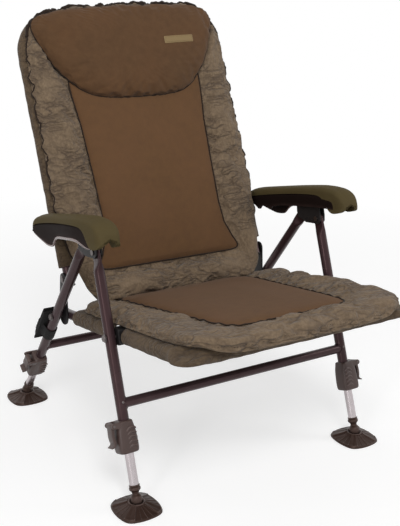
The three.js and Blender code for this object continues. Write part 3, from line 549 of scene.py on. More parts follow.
looks = {
    "paint": {"colour": "2c1f21", "cloud": "352629", "edge": "7c6a6c", "rough": 0.22, "gloss": 0.38,
              "tint": "e2b8b8", "grain": 900.0, "wear": 0.3, "bump": 0.05},
    "lock": {"colour": "43342f", "cloud": "4e3d3a", "edge": "8f7c77", "rough": 0.4, "gloss": 0.4,
             "grain": 800.0, "wear": 0.8, "bump": 0.12},
    "foot": {"colour": "32251f", "cloud": "3a2b26", "edge": "a08b85", "rough": 0.36, "gloss": 0.3,
             "tint": "e2c8c0", "grain": 800.0, "wear": 1.0, "bump": 0.12},
    "black": {"colour": "121112", "cloud": "181617", "edge": "3c3838", "rough": 0.5, "gloss": 0.25,
              "grain": 700.0, "wear": 0.5, "bump": 0.15},
    "shell": {"colour": "1a1311", "cloud": "201715", "edge": "54423e", "rough": 0.55, "gloss": 0.03,
              "grain": 620.0, "wear": 0.6, "bump": 0.14},
    # the armrest shell's lower rim bead: glossy, and its colour is lighter than the shell's as a painted
    # highlight
    "rim": {"colour": "5c4541", "cloud": "6a514d", "edge": "a58c86", "rough": 0.24, "gloss": 0.55,
            "coat": 0.4, "grain": 620.0, "wear": 0.6, "bump": 0.05},
    "olive": {"colour": "4a4029", "cloud": "564b31", "edge": "6d6546", "rough": 0.7, "gloss": 0.08,
              "grain": 520.0, "wear": 0.4, "bump": 0.3},
    "label": {"colour": "7a6644", "cloud": "87724d", "edge": "9c8760", "rough": 0.6, "gloss": 0.3,
              "grain": 600.0, "wear": 0.6, "bump": 0.2},
}
# a "folds" entry gives fold size, painted crease shade (how far the fold lines darken in colour) and fold
# depth
clothLooks = {
    "fleece": {"colour": "664a30", "second": "5c432d", "third": "6d4e36", "thread": "503926", "rough": 0.95,
               "sheen": 0.04, "threads": 700.0, "slub": 0.2, "mottle": 55.0, "cut": (0.3, 0.7),
               "clouds": 7.0, "drift": 1.3, "heather": 0.25, "nap": 600.0, "weaveShare": 0.15, "bump": 0.25,
               "depth": 0.0008},
    "pillow": {"colour": "5e452e", "second": "523b27", "third": "6a4a30", "thread": "463120", "rough": 0.95,
               "sheen": 0.08, "threads": 700.0, "slub": 0.2, "mottle": 55.0, "cut": (0.3, 0.7),
               "clouds": 7.0, "drift": 1.2, "heather": 0.25, "nap": 600.0, "weaveShare": 0.15, "bump": 0.25,
               "depth": 0.0008},
    "border": {"colour": "8b775f", "second": "6c5b48", "third": "95816a", "thread": "54463a", "rough": 0.88,
               "sheen": 0.1, "threads": 520.0, "slub": 0.5, "mottle": 210.0, "cut": (0.36, 0.64),
               "clouds": 16.0, "drift": 0.8, "heather": 0.5, "stretch": (1, 0.7, 0.7), "nap": 260.0,
               "weaveShare": 0.35, "bump": 0.6, "depth": 0.0013, "folds": (38.0, 0.9, 6.0)},
    "sling": {"colour": "6e5c47", "second": "544638", "third": "78664e", "thread": "43362a", "rough": 0.88,
              "sheen": 0.1, "threads": 620.0, "slub": 0.4, "mottle": 190.0, "cut": (0.38, 0.62),
              "clouds": 9.0, "drift": 0.7, "heather": 0.5, "nap": 300.0, "weaveShare": 0.5, "bump": 0.5,
              "depth": 0.001, "folds": (32.0, 0.8, 5.0)},
    "piping": {"colour": "2b2018", "second": "241a13", "third": "33261d", "thread": "1b140f", "rough": 0.85,
               "sheen": 0.05, "threads": 900.0, "slub": 0.4, "mottle": 200.0, "cut": (0.3, 0.7),
               "clouds": 12.0, "drift": 0.6, "heather": 0.4, "nap": 500.0, "weaveShare": 0.5, "bump": 0.3,
               "depth": 0.0005},
    "webbing": {"colour": "131212", "second": "0f0e0e", "third": "1a1818", "thread": "232020", "rough": 0.8,
                "sheen": 0.05, "threads": 420.0, "slub": 0.3, "mottle": 160.0, "cut": (0.3, 0.7),
                "clouds": 14.0, "drift": 0.6, "heather": 0.35, "nap": 400.0, "weaveShare": 1.0, "bump": 0.6,
                "depth": 0.0009},
}
finish = {name: plasticFinish(name + "Finish", look) for name, look in looks.items()}
finish.update({name: clothFinish(name + "Cloth", look) for name, look in clothLooks.items()})
finish["steel"] = steelFinish("boltSteel", {"colour": "77706f", "second": "575150", "rough": 0.36,
                                            "stretch": (1, 1, 1), "bump": 0.1})
finish["alloy"] = steelFinish("innerLegAlloy", {"colour": "cdc5c7", "second": "a39b9d", "rough": 0.24,
                                                "stretch": (3, 3, 0.15), "bump": 0.04})
print("finishes made:", len(finish))


# ---- repeats: one tree sets a piece at equal steps, the other along a path
def startTree(name, ins):
    tree = bpy.data.node_groups.new(name, "GeometryNodeTree")
    for label, kind in ins:
        tree.interface.new_socket(label, in_out="INPUT", socket_type="NodeSocket" + kind)
    tree.interface.new_socket("Geometry", in_out="OUTPUT", socket_type="NodeSocketGeometry")
    return tree, tree.nodes.new("NodeGroupInput"), tree.nodes.new("NodeGroupOutput")


def endTree(tree, instances, into, out):
    real, paint = tree.nodes.new("GeometryNodeRealizeInstances"), tree.nodes.new("GeometryNodeSetMaterial")
    tree.links.new(instances, real.inputs[0])
    tree.links.new(real.outputs[0], paint.inputs["Geometry"])
    tree.links.new(into.outputs["Finish"], paint.inputs["Material"])
    tree.links.new(paint.outputs[0], out.inputs["Geometry"])
    return tree


def repeatTree():
    tree, into, out = startTree("piecesAtSteps", [
        ("Piece", "Object"), ("Count", "Int"), ("Start", "Vector"), ("Step", "Vector"),
        ("Finish", "Material"),
    ])
    line = addNode(tree, "GeometryNodeMeshLine", mode="OFFSET")
    source = addNode(tree, "GeometryNodeObjectInfo", transform_space="ORIGINAL")
    onPoints = tree.nodes.new("GeometryNodeInstanceOnPoints")
    for first, second in (
        (into.outputs["Count"], line.inputs["Count"]),
        (into.outputs["Start"], line.inputs["Start Location"]),
        (into.outputs["Step"], line.inputs["Offset"]),
        (into.outputs["Piece"], source.inputs["Object"]),
        (line.outputs[0], onPoints.inputs["Points"]),
        (source.outputs["Geometry"], onPoints.inputs["Instance"]),
    ):
        tree.links.new(first, second)
    return endTree(tree, onPoints.outputs[0], into, out)


def stitchTree():
    tree, into, out = startTree("stitchesAlongSeam", [
        ("Seam", "Object"), ("Pitch", "Float"), ("Stitch length", "Float"), ("Thread radius", "Float"),
        ("Uneven", "Float"), ("Seed", "Int"), ("Finish", "Material"),
    ])
    source = addNode(tree, "GeometryNodeObjectInfo", transform_space="ORIGINAL")
    curve = tree.nodes.new("GeometryNodeMeshToCurve")
    even = addNode(tree, "GeometryNodeResampleCurve", mode="LENGTH")
    tangent = tree.nodes.new("GeometryNodeInputTangent")
    align = addNode(tree, "FunctionNodeAlignRotationToVector", axis="Z")
    thread = addNode(tree, "GeometryNodeMeshUVSphere", Segments=6, Rings=4, Radius=1.0)
    wide = tree.nodes.new("ShaderNodeCombineXYZ")
    half = mathNode(tree, "MULTIPLY", into.outputs["Stitch length"], 0.5)
    chance = addNode(tree, "FunctionNodeRandomValue", data_type="FLOAT")
    chance.inputs[3].default_value = 1.0  # the largest stitch
    sized = addNode(tree, "ShaderNodeVectorMath", operation="SCALE")
    onPoints = tree.nodes.new("GeometryNodeInstanceOnPoints")
    for first, second in (
        (into.outputs["Seam"], source.inputs["Object"]),
        (source.outputs["Geometry"], curve.inputs[0]),
        (curve.outputs[0], even.inputs["Curve"]),
        (into.outputs["Pitch"], even.inputs["Length"]),
        (tangent.outputs[0], align.inputs["Vector"]),
        (into.outputs["Thread radius"], wide.inputs[0]),
        (into.outputs["Thread radius"], wide.inputs[1]),
        (half, wide.inputs[2]),
        (into.outputs["Seed"], chance.inputs["Seed"]),
        (into.outputs["Uneven"], chance.inputs[2]),
        (wide.outputs[0], sized.inputs[0]),
        (chance.outputs[1], sized.inputs["Scale"]),
        (even.outputs[0], onPoints.inputs["Points"]),
        (thread.outputs[0], onPoints.inputs["Instance"]),
        (align.outputs[0], onPoints.inputs["Rotation"]),
        (sized.outputs[0], onPoints.inputs["Scale"]),
    ):
        tree.links.new(first, second)
    return endTree(tree, onPoints.outputs[0], into, out)


stepsTree, seamTree = repeatTree(), stitchTree()


def runTree(name, tree, values):
    holder = bpy.data.objects.new(name, bpy.data.meshes.new(name))
    scene.collection.objects.link(holder)
    modifier = holder.modifiers.new("made", "NODES")
    modifier.node_group = tree
    for item in tree.interface.items_tree:
        if item.in_out == "INPUT" and item.name in values:
            modifier[item.identifier] = values[item.name]
    holder.update_tag()
    applyModifiers(holder)
    smoothShade(holder, 40)
    return holder


def dropObject(thing):
    bpy.data.objects.remove(thing, do_unlink=True)


def stitchesOn(name, lines, finishName="piping", pitch=6.0, length=4.0, radius=0.45, seed=3):
    points, edges = [], []
    for line, looped in lines:
        start = len(points)
        points.extend([tuple(p) for p in line])
        edges.extend([(start + i, start + i + 1) for i in range(len(line) - 1)])
        if looped:
            edges.append((start + len(line) - 1, start))
    mesh = bpy.data.meshes.new(name + "Seam")
    mesh.from_pydata(points, edges, [])
    seam = bpy.data.objects.new(name + "Seam", mesh)
    scene.collection.objects.link(seam)
    made = runTree(name, seamTree, {
        "Seam": seam, "Pitch": pitch * mm, "Stitch length": length * mm, "Thread radius": radius * mm,
        "Uneven": 0.8, "Seed": seed, "Finish": finish[finishName],
    })
    dropObject(seam)
    return made


# ---- legs, bars and frames
legs = {
    "x": 281.0, "radius": 11.0, "sides": 48, "flatThick": 3.5, "flatWide": 14.0, "flatDrop": 17.0,
    "taper": 40.0, "crown": 10.0, "frontEnd": 385.3, "rearEnd": 467.5, "barRadius": 10.0, "weld": 2.2,
    "innerRadius": 9.3, "innerFoot": 28.2, "innerTop": 230.0, "frontReach": 485.27, "rearReach": 569.48,
}
bodyOf = {"front": "front_leg_frame", "rear": "rear_leg_frame"}


def legShape(bottom):
    p = legs
    thin, broad = p["flatThick"], p["flatWide"]
    rings = []
    for drop, thick, wide, power in [
        (-p["crown"], 2.6, 7.0, 3.0), (-p["crown"] + 1, 3.3, 9.0, 3.4), (-6, thin, 12.4, 4.0),
        (-2, thin, broad, 4.0), (p["flatDrop"], thin, broad, 4.0),
    ]:
        rings.append(roundedRing(-drop, thick, wide, power, p["sides"]))
    for k in range(1, 9):
        t = smoothStep(k / 8, 0, 1)
        drop = p["flatDrop"] + (p["taper"] - p["flatDrop"]) * k / 8
        half = (thin + (p["radius"] - thin) * t, broad + (p["radius"] - broad) * t)
        rings.append(roundedRing(-drop, *half, 4 - 2 * t, p["sides"]))
    rings.append(roundedRing(-bottom, p["radius"], p["radius"], 2, p["sides"]))
    return shifted(addRings(emptyShape(), rings), p["x"])


def addWeld(shape, drop, x):
    bead = legs["weld"]
    turn = 2 * np.pi * np.arange(40) / 40
    out = legs["barRadius"] + bead * 0.2
    ring = []
    for t in turn:  # where the bar meets the leg's round
        y = out * math.cos(t)
        inward = math.copysign(math.sqrt(max(legs["radius"] ** 2 - y * y, 0.0)), x)
        ring.append((x - inward * 0.98, y, -drop + out * math.sin(t)))
    rough = [bead * (0.85 + 0.15 * math.sin(9 * t)) for t in turn]
    addTube(shape, ring, np.array(rough), normal=(1, 0, 0), count=10, loop=True)


for end in ends:
    place, body = places[end + "Leg"], bodyOf[end]
    for side, sign in sides.items():
        leg = makePiece(f"{end}Leg_{side}", legShape(legs[end + "End"]), place, [finish["paint"]],
                        mirror=sign)
        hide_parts(f"{end}_leg_{side}")
        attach(leg, body)
    drop = -localMiddle(place, f"{end}_cross_bar")[1]
    shape = emptyShape()
    reachX = legs["x"] - 4
    addTube(shape, [(-reachX, 0, -drop), (reachX, 0, -drop)], legs["barRadius"], normal=(0, 1, 0), count=44)
    for sign in (-1, 1):
        addWeld(shape, drop, sign * legs["x"])
    crossBar = makePiece(f"{end}CrossBar", shape, place, [finish["paint"]])
    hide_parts(f"{end}_cross_bar")
    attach(crossBar, body)
    if end == "front":
        for side, sign in sides.items():
            stub = emptyShape()
            faceY = -legs["radius"]
            addLathe(stub, [(0, 0), (2.6, 0.3), (2.3, 1.3), (1.2, 2.0), (0, 2.2)], count=20)
            turned = np.array(stub["points"])[:, [0, 2, 1]] * [1, -1, 1] + [legs["x"], faceY + 0.6, -drop + 3]
            stub["points"] = [tuple(q) for q in turned]
            rivet = makePiece(f"barRivet_{side}", stub, place, [finish["steel"]], mirror=sign)
            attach(rivet, body)
print("legs and bars made")

studProfile = [
    (0, -12.0), (3.5, -11.48), (6.5, -10.09), (9.2, -7.7), (11.1, -4.6), (12, 0), (11.6, 3.1), (10.4, 6.0),
    (8.6, 8.3), (7.4, 9.6), (6.9, 11.2), (7.1, 13.5), (8.2, 15.6), (10.2, 17.2), (11.3, 18.4), (11.6, 20.0),
    (11.6, 22.4), (11.2, 23.2), (10.2, 23.8), (10.2, 25.6), (10.9, 26.3), (10.9, 27.4), (10.4, 28.0),
    (0, 28.0),
]
for end in ends:
    place, reach = places[end + "Leg"], legs[end + "Reach"]
    for side, sign in sides.items():
        body = f"{end}_leg_extension_{side}"
        tube = addTube(emptyShape(), [(legs["x"], 0, -reach + z)
                                      for z in (legs["innerFoot"], 120, 200, legs["innerTop"])],
                       legs["innerRadius"], normal=(0, 1, 0), count=44)
        inner = makePiece(f"{end}InnerLeg_{side}", tube, place, [finish["alloy"]], mirror=sign)
        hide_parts(f"{end}_inner_leg_{side}")
        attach(inner, body)
        ball = addLathe(emptyShape(), studProfile, (legs["x"], 0, -reach))
        stud = makePiece(f"{end}BallStud_{side}", ball, place, [finish["foot"]], sharp=30, mirror=sign)
        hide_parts(f"{end}_ball_stud_{side}")
        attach(stud, body)

# ---- mud feet: four cornered domes with a wedge to each corner and thin ribs between
mudFoot = {"side": 45.6, "bow": 105.0, "soft": 4.0, "turn": 45.0, "wedge": 3.4, "wedgeHalf": 13.5,
           "thinRib": 1.3, "cup": 17.4, "sides": 288}


def footRim(degrees):
    f = mudFoot
    toSide = np.abs((degrees + 45) % 90 - 45)  # sides at 0, 90, 180, 270 before the turn
    centre = f["bow"] - f["side"]

    def bow(a):
        turn = np.radians(a)
        return -centre * np.cos(turn) + np.sqrt(f["bow"] ** 2 - (centre * np.sin(turn)) ** 2)

    near, far = bow(toSide), bow(90 - toSide)
    return -f["soft"] * np.log(np.exp(-near / f["soft"]) + np.exp(-far / f["soft"])) + 0.6


def footShape():
    f = mudFoot
    shape = emptyShape()
    degrees = np.arange(f["sides"]) * 360 / f["sides"]
    toCorner = np.abs(degrees % 90 - 45)
    rim = footRim(degrees)
    turn = np.radians(degrees - 45 + f["turn"])
    heights = easeRows([(1.0, 1.4), (0.99, 3.0), (0.955, 4.3), (0.86, 5.2), (0.72, 7.4), (0.56, 10.2),
                        (0.44, 12.6), (0.37, 14.6)], 4)
    under = [(0.28, 5.5), (0.6, 4.2), (0.9, 1.2), (0.955, 0.0), (0.99, 0.1), (1.0, 0.6)]
    wedge = smoothStep(f["wedgeHalf"] - toCorner, -0.6, 0.9)
    wedge *= 0.62 + 0.38 * np.clip(toCorner / f["wedgeHalf"], 0, 1)
    thin = np.maximum(np.clip(1 - np.abs(toCorner - 45) / 1.6, 0, 1),
                      np.clip(1 - np.abs(toCorner - 29) / 1.2, 0, 1) * 0.8)

    def ring(share, height, ridge):
        z = height + ridge * (f["wedge"] * wedge * min(1.0, 1.7 - share) + f["thinRib"] * thin)
        return np.stack([rim * share * np.cos(turn), rim * share * np.sin(turn), z - 22], 1)

    rings = [ring(s, z, 0) for s, z in under]
    for share, height in heights:
        rings.append(ring(share, height, float(smoothStep(1.0 - share, 0.02, 0.06))))
    cup = f["cup"]
    for radius, height in ((cup, 16.6), (cup - 0.5, 17.5), (cup - 1.8, 18.0), (14.2, 17.6), (13.2, 15.6),
                           (11.2, 12.5), (8.0, 10.0), (4.0, 8.8)):
        rings.append(np.stack([radius * np.cos(turn), radius * np.sin(turn),
                               np.full(len(turn), height - 22)], 1))
    addRings(shape, rings)
    return shifted(shape, legs["x"])


for end in ends:
    for side, sign in sides.items():
        pad = makePiece(f"{end}MudFoot_{side}", footShape(), places[end + "Foot"], [finish["foot"]],
                        sharp=24, mirror=sign)
        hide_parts(f"{end}_mud_foot_{side}")
        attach(pad, f"{end}_foot_{side}")
print("feet made")

# ---- cam locks
lock = {"height": 63.0, "frontLift": 92.0, "rearLift": 94.0, "top": 15.5, "wide": 21.0, "deep": 19.0,
        "outset": 2.5, "earOut": 29.0, "earDrop": 6.0, "earRadius": 5.5, "earInner": 12.6, "earThick": 4.0,
        "ribs": 5, "ribPitch": 8.6, "ribHalf": 10.0, "ribInset": 7.0, "leverHalf": 10.4}


def plateShape(outline, low, high, axis="x"):
    shape = emptyShape()
    rings = []
    for at in (low, high):
        if axis == "x":
            rings.append([(at, a, b) for a, b in outline])
        else:
            rings.append([(a, at, b) for a, b in outline])
    count = len(outline)
    shape["points"] = rings[0] + rings[1]
    for i in range(count):
        j = (i + 1) % count
        shape["faces"].append((i, j, count + j, count + i))
    shape["faces"] += [tuple(range(count)), tuple(range(count, 2 * count))]
    shape["finish"] = [0] * len(shape["faces"])
    return shape


def lockParts(name, reach, lift, place, sign, body, leverBody, nodes):
    q = lock
    top = reach - lift - q["height"]
    rows = [(0, -0.35, 0.76), (0.015, -0.08, 0.84), (0.05, 0.08, 0.885), (0.14, 0.3, 0.915),
            (0.28, 0.66, 0.95), (0.5, 0.9, 0.985), (0.74, 1.02, 1.0), (0.88, 1.0, 0.985),
            (0.955, 0.86, 0.95), (0.985, 0.68, 0.9), (1, 0.3, 0.82)]
    rings = []
    for down, out, deep in easeRows(rows, 4):
        half = q["top"] + (q["wide"] - q["top"]) * out
        rings.append(roundedRing(-top - q["height"] * down, half, q["deep"] * deep, 4.6, 64, q["outset"]))
    shell = makePiece(name + "Body", shifted(addRings(emptyShape(), rings), legs["x"]), place,
                      [finish["lock"]], sharp=42, mirror=sign)
    extras = []
    for way in (-1, 1):  # the ears that hold the lever's pin
        near, far = sorted((way * q["earInner"], way * (q["earInner"] + q["earThick"])))
        outline = [(q["outset"], -top - q["earDrop"] - 8), (q["outset"], -top - q["earDrop"] + 5)]
        outline += [(q["earOut"] + q["earRadius"] * math.sin(t),
                     -top - q["earDrop"] + q["earRadius"] * math.cos(t))
                    for t in np.linspace(0, math.pi * 0.95, 12)]
        ear = plateShape(outline, near, far, "y")
        extras.append(makePiece("ear", shifted(ear, legs["x"]), place, [finish["lock"]], mirror=sign,
                                bevel=0.8))
    rib = emptyShape()
    arc = [(x, -q["deep"] * 0.98 + 0.004 * (x + 10) ** 2, 2.0 - 0.05 * x * x - 0.12 * x)
           for x in np.linspace(-q["ribHalf"], q["ribHalf"], 17)]
    thick = [2.3 * math.sqrt(max(1 - (abs(x[0]) / (q["ribHalf"] + 1.0)) ** 4, 0.02)) for x in arc]
    addTube(rib, arc, np.array(thick), normal=(0, 1, 0), count=12)
    middle = -top - q["height"] * 0.52
    first = middle + (q["ribs"] - 1) / 2 * q["ribPitch"]
    oneRib = makePiece("oneRib", shifted(rib, legs["x"] + q["outset"] - q["ribInset"], 0, first), place,
                       [finish["lock"]], mirror=sign)
    step = toRow(place, [(0, 0, -q["ribPitch"])])[0] - toRow(place, [(0, 0, 0)])[0]
    ribs = runTree("ribs", stepsTree, {"Piece": oneRib, "Count": q["ribs"], "Start": (0, 0, 0),
                                       "Step": tuple(step), "Finish": finish["lock"]})
    dropObject(oneRib)
    joinPieces(shell, [*extras, ribs])
    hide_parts(nodes[0])
    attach(shell, body)

    outline = easeRows([(5.0, 0.5), (4.4, -4), (4.3, -11), (4.8, -20), (3.8, -29), (2.4, -34), (4.6, -38),
                        (9.2, -40.6), (8.4, -42.2), (3.0, -41), (-1.2, -37), (-2.4, -30), (-0.6, -20),
                        (-1.6, -10), (-4.6, -4), (-5.0, 0.5), (-3.6, 4.0), (0, 5.2), (3.6, 4.0), (5.0, 0.5)],
                        3)[:-1]
    lever = plateShape([tuple(p) for p in outline], -q["leverHalf"], q["leverHalf"], "y")
    piece = makePiece(name + "Lever", shifted(lever, legs["x"] + q["earOut"], 0, -top - q["earDrop"]), place,
                      [finish["lock"]], mirror=sign, bevel=0.9)
    pin = addTube(emptyShape(), [(0, -17.4, 0), (0, -17.2, 0), (0, 17.2, 0), (0, 17.4, 0)],
                  np.array([1.6, 2.2, 2.2, 1.6]), normal=(1, 0, 0), count=20)
    pinPiece = makePiece("pin", shifted(pin, legs["x"] + q["earOut"], 0, -top - q["earDrop"]), place,
                         [finish["steel"]], mirror=sign)
    joinPieces(piece, [pinPiece])
    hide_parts(nodes[1])
    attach(piece, leverBody)


for end in ends:
    for side, sign in sides.items():
        lockParts(f"{end}Lock_{side}", legs[end + "Reach"], lock[end + "Lift"], places[end + "Leg"], sign,
                  bodyOf[end], f"{end}_lever_{side}", (f"{end}_lock_body_{side}", f"{end}_lock_lever_{side}"))
print("locks made")

# ---- seat and back tubes, hinge plates, saddles, bolts
tubes = {"half": 251.0, "radius": 11.0, "front": 240.0, "tail": 276.0, "top": 592.0, "foot": 14.0,
         "seatBend": 45.0, "backBend": 85.0, "plateIn": 262.3, "plateOut": 266.3, "hingeBack": 246.0,
         "hingeUp": 82.6}


def frameTube(name, path, normal, place, node, body):
    shape = addTube(emptyShape(), path, tubes["radius"], normal=normal, count=40)
    for end, inner in ((path[0], path[1]), (path[-1], path[-2])):  # a black plug in each open end
        out = np.array(end) - np.array(inner)
        out = out / np.linalg.norm(out)
        run = [np.array(end) + out * s for s in (-0.4, 0.0, 2.2, 3.4, 4.0)]
        addTube(shape, run, np.array([10.6, 11.6, 11.6, 10.4, 7.5]), normal=normal, count=40, finish=1)
    tube = makePiece(name, shape, place, [finish["paint"], finish["black"]])
    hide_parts(node)
    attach(tube, body)


t = tubes
seatCorners = [(-t["half"], t["tail"], 0), (-t["half"], -t["front"], 0), (t["half"], -t["front"], 0),
               (t["half"], t["tail"], 0)]
backCorners = [(-t["half"], 0, -t["foot"]), (-t["half"], 0, t["top"]), (t["half"], 0, t["top"]),
               (t["half"], 0, -t["foot"])]
frameTube("seatFrameTube", roundedPath(seatCorners, t["seatBend"]), (0, 0, 1), places["seat"],
          "seat_frame_tube", "seat_frame")
frameTube("backFrameTube", roundedPath(backCorners, t["backBend"], 16), (0, 1, 0), places["back"],
          "back_frame_tube", "back_frame")


def roundedOutline(low, lowRadius, high, highRadius, lowArc=(-190, 10), steps=22):
    slant = math.atan2(high[0] - low[0], high[1] - low[1])

    def arc(centre, radius, start, stop):
        return [(centre[0] + radius * math.cos(math.radians(a) - slant),
                 centre[1] + radius * math.sin(math.radians(a) - slant))
                for a in np.linspace(start, stop, steps)]

    return arc(low, lowRadius, *lowArc) + arc(high, highRadius, 0, 180)


def boltShape(tip, head, headDepth, shaft=4.0, headRadius=7.0, washer=8.6):
    shape = emptyShape()
    way = 1 if head > tip else -1
    addLathe(shape, [(0, tip), (shaft - 0.6, tip), (shaft, tip + way * 0.6), (shaft, head)], axis="x",
             count=28)
    addLathe(shape, [(0, head), (washer, head), (washer, head + way * 0.7), (0, head + way * 0.7)], axis="x",
             count=32)
    base = head + way * 0.7
    depth = headDepth - 0.7
    addLathe(shape, [(0, base), (headRadius, base), (headRadius, base + way * depth * 0.7),
                     (headRadius * 0.86, base + way * depth), (0, base + way * depth)], axis="x", count=6)
    return shape


plateLine = roundedOutline((t["tail"] - 16, 0), 21.0, (t["hingeBack"], t["hingeUp"]), 14.0)
legHeadX = legs["x"] + legs["radius"] + 0.3
boltTable = [  # name, node, body, place, tip x, head x, head depth
    ("seatPivotBolt", "seat_pivot_bolt", "front_leg_frame", "frontLeg", 232.0, legHeadX, 4.5),
    ("seatHookBolt", "seat_hook_bolt", "rear_leg_frame", "rearLeg", 266.6, legHeadX, 4.5),
    ("backHingeBolt", "back_hinge_bolt", "back_frame", "back", 236.0, t["plateOut"] + 0.3, 2.0),
]
for side, sign in sides.items():
    plate = makePiece(f"hingePlate_{side}", plateShape(plateLine, t["plateIn"], t["plateOut"]),
                      places["seat"], [finish["black"]], mirror=sign, bevel=0.9)
    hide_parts(f"hinge_plate_{side}")
    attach(plate, "seat_frame")
    block = roundedRing(0, 16.0, 16.6, 7, 48)
    rings = [np.stack([np.full(48, x), block[:, 0] * s, block[:, 1] * s], 1)
             for x, s in ((236.0, 0.9), (236.9, 0.98), (238.5, 1.0), (267.0, 1.0), (269.0, 0.985),
                          (269.7, 0.93))]
    saddle = makePiece(f"seatSaddle_{side}", addRings(emptyShape(), rings), places["seat"],
                       [finish["black"]], mirror=sign)
    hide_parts(f"seat_pivot_saddle_{side}")
    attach(saddle, "seat_frame")
    for name, node, body, placeName, tip, head, depth in boltTable:
        y, z = localMiddle(places[placeName], f"{node}_{side}")
        bolt = makePiece(f"{name}_{side}", shifted(boltShape(tip, head, depth), 0, y, z), places[placeName],
                         [finish["steel"]], mirror=sign)
        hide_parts(f"{node}_{side}")
        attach(bolt, body)
    notch = addLathe(emptyShape(), [(0, 239), (3.4, 239), (4, 239.6), (4, 267.6), (3.6, 268.4), (2.2, 268.7),
                                    (0, 268.7)], (0, 0, 107), 28, "x")
    stub = makePiece(f"notchPin_{side}", notch, places["back"], [finish["steel"]], mirror=sign)
    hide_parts(f"notch_pin_{side}")
    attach(stub, "back_frame")
    for node in (f"arm_pivot_bolt_{side}", f"rear_leg_rivet_{side}"):
        paintNode(node, finish["steel"])
print("tubes and hinges made")

# ---- armrests
arm = {"inner": 269.3, "outer": 318.0, "rearOuter": 305.0, "wall": 3.0, "edge": 8.0, "proud": 1.5}
shellLine = [  # along, outer lower edge, roof height, side taper
    (-66, 12, 34, 0.0), (-62, 12, 44, 0.0), (-44, 12, 49, 0.0), (-29, 15, 52, 0.0), (-14, 20, 55, 0.02),
    (5, 25.5, 57, 0.05), (34, 28, 58.5, 0.14), (62, 28.4, 60, 0.25), (90, 28.8, 60, 0.38),
    (110, 28.8, 60, 0.5), (128, 26.5, 60, 0.62), (142, 19, 60, 0.8), (150, 12.5, 60, 0.92),
    (160, 9.3, 60, 1.0), (184, 10.8, 60, 1.0), (205, 17, 59.5, 1.0), (226, 24, 58.8, 1.0), (250, 33, 57, 1.0),
    (258, 38, 54.5, 1.0), (262, 42, 51, 1.0),
]
notchLine = [(-80, 18), (-52, 21.6), (13, 27.6), (126, 31.8), (155, 28.8), (166, 21), (178, 30), (187, 33),
             (198, 30), (208, 21), (220, 30), (231, 37.2), (245, 38.4), (254, 36), (275, 43)]


def archRing(y, lowIn, lowOut, top, inner, outer, edge, thick, crown=1.2, bulge=1.0):
    def arch(shrink):
        a, b, roof = inner + shrink, outer - shrink, top - shrink
        radius = max(min(edge - shrink * 0.5, (b - a) / 2.2), 0.8)
        points = [(a, lowIn), (a, lowIn * 0.66 + (roof - radius) * 0.34),
                  (a, lowIn * 0.3 + (roof - radius) * 0.7)]
        for k in range(7):
            turn = math.pi / 2 * k / 6
            points.append((a + radius - radius * math.cos(turn), roof - radius + radius * math.sin(turn)))
        for s in (0.25, 0.5, 0.75):
            points.append((a + radius + (b - a - 2 * radius) * s, roof + crown * math.sin(math.pi * s)))
        for k in range(7):
            turn = math.pi / 2 * k / 6
            points.append((b - radius + radius * math.sin(turn), roof - radius + radius * math.cos(turn)))
        points += [(b + bulge * 0.8, lowOut * 0.3 + (roof - radius) * 0.7),
                   (b + bulge, lowOut * 0.66 + (roof - radius) * 0.34), (b, lowOut)]
        return points

    outside, inside = arch(0), arch(thick)
    return [(x, y, z) for x, z in outside] + [(x, y, z) for x, z in reversed(inside)]


def armSide(u):
    return arm["outer"] + (arm["rearOuter"] - arm["outer"]) * float(smoothStep(u, -10.0, 190.0))


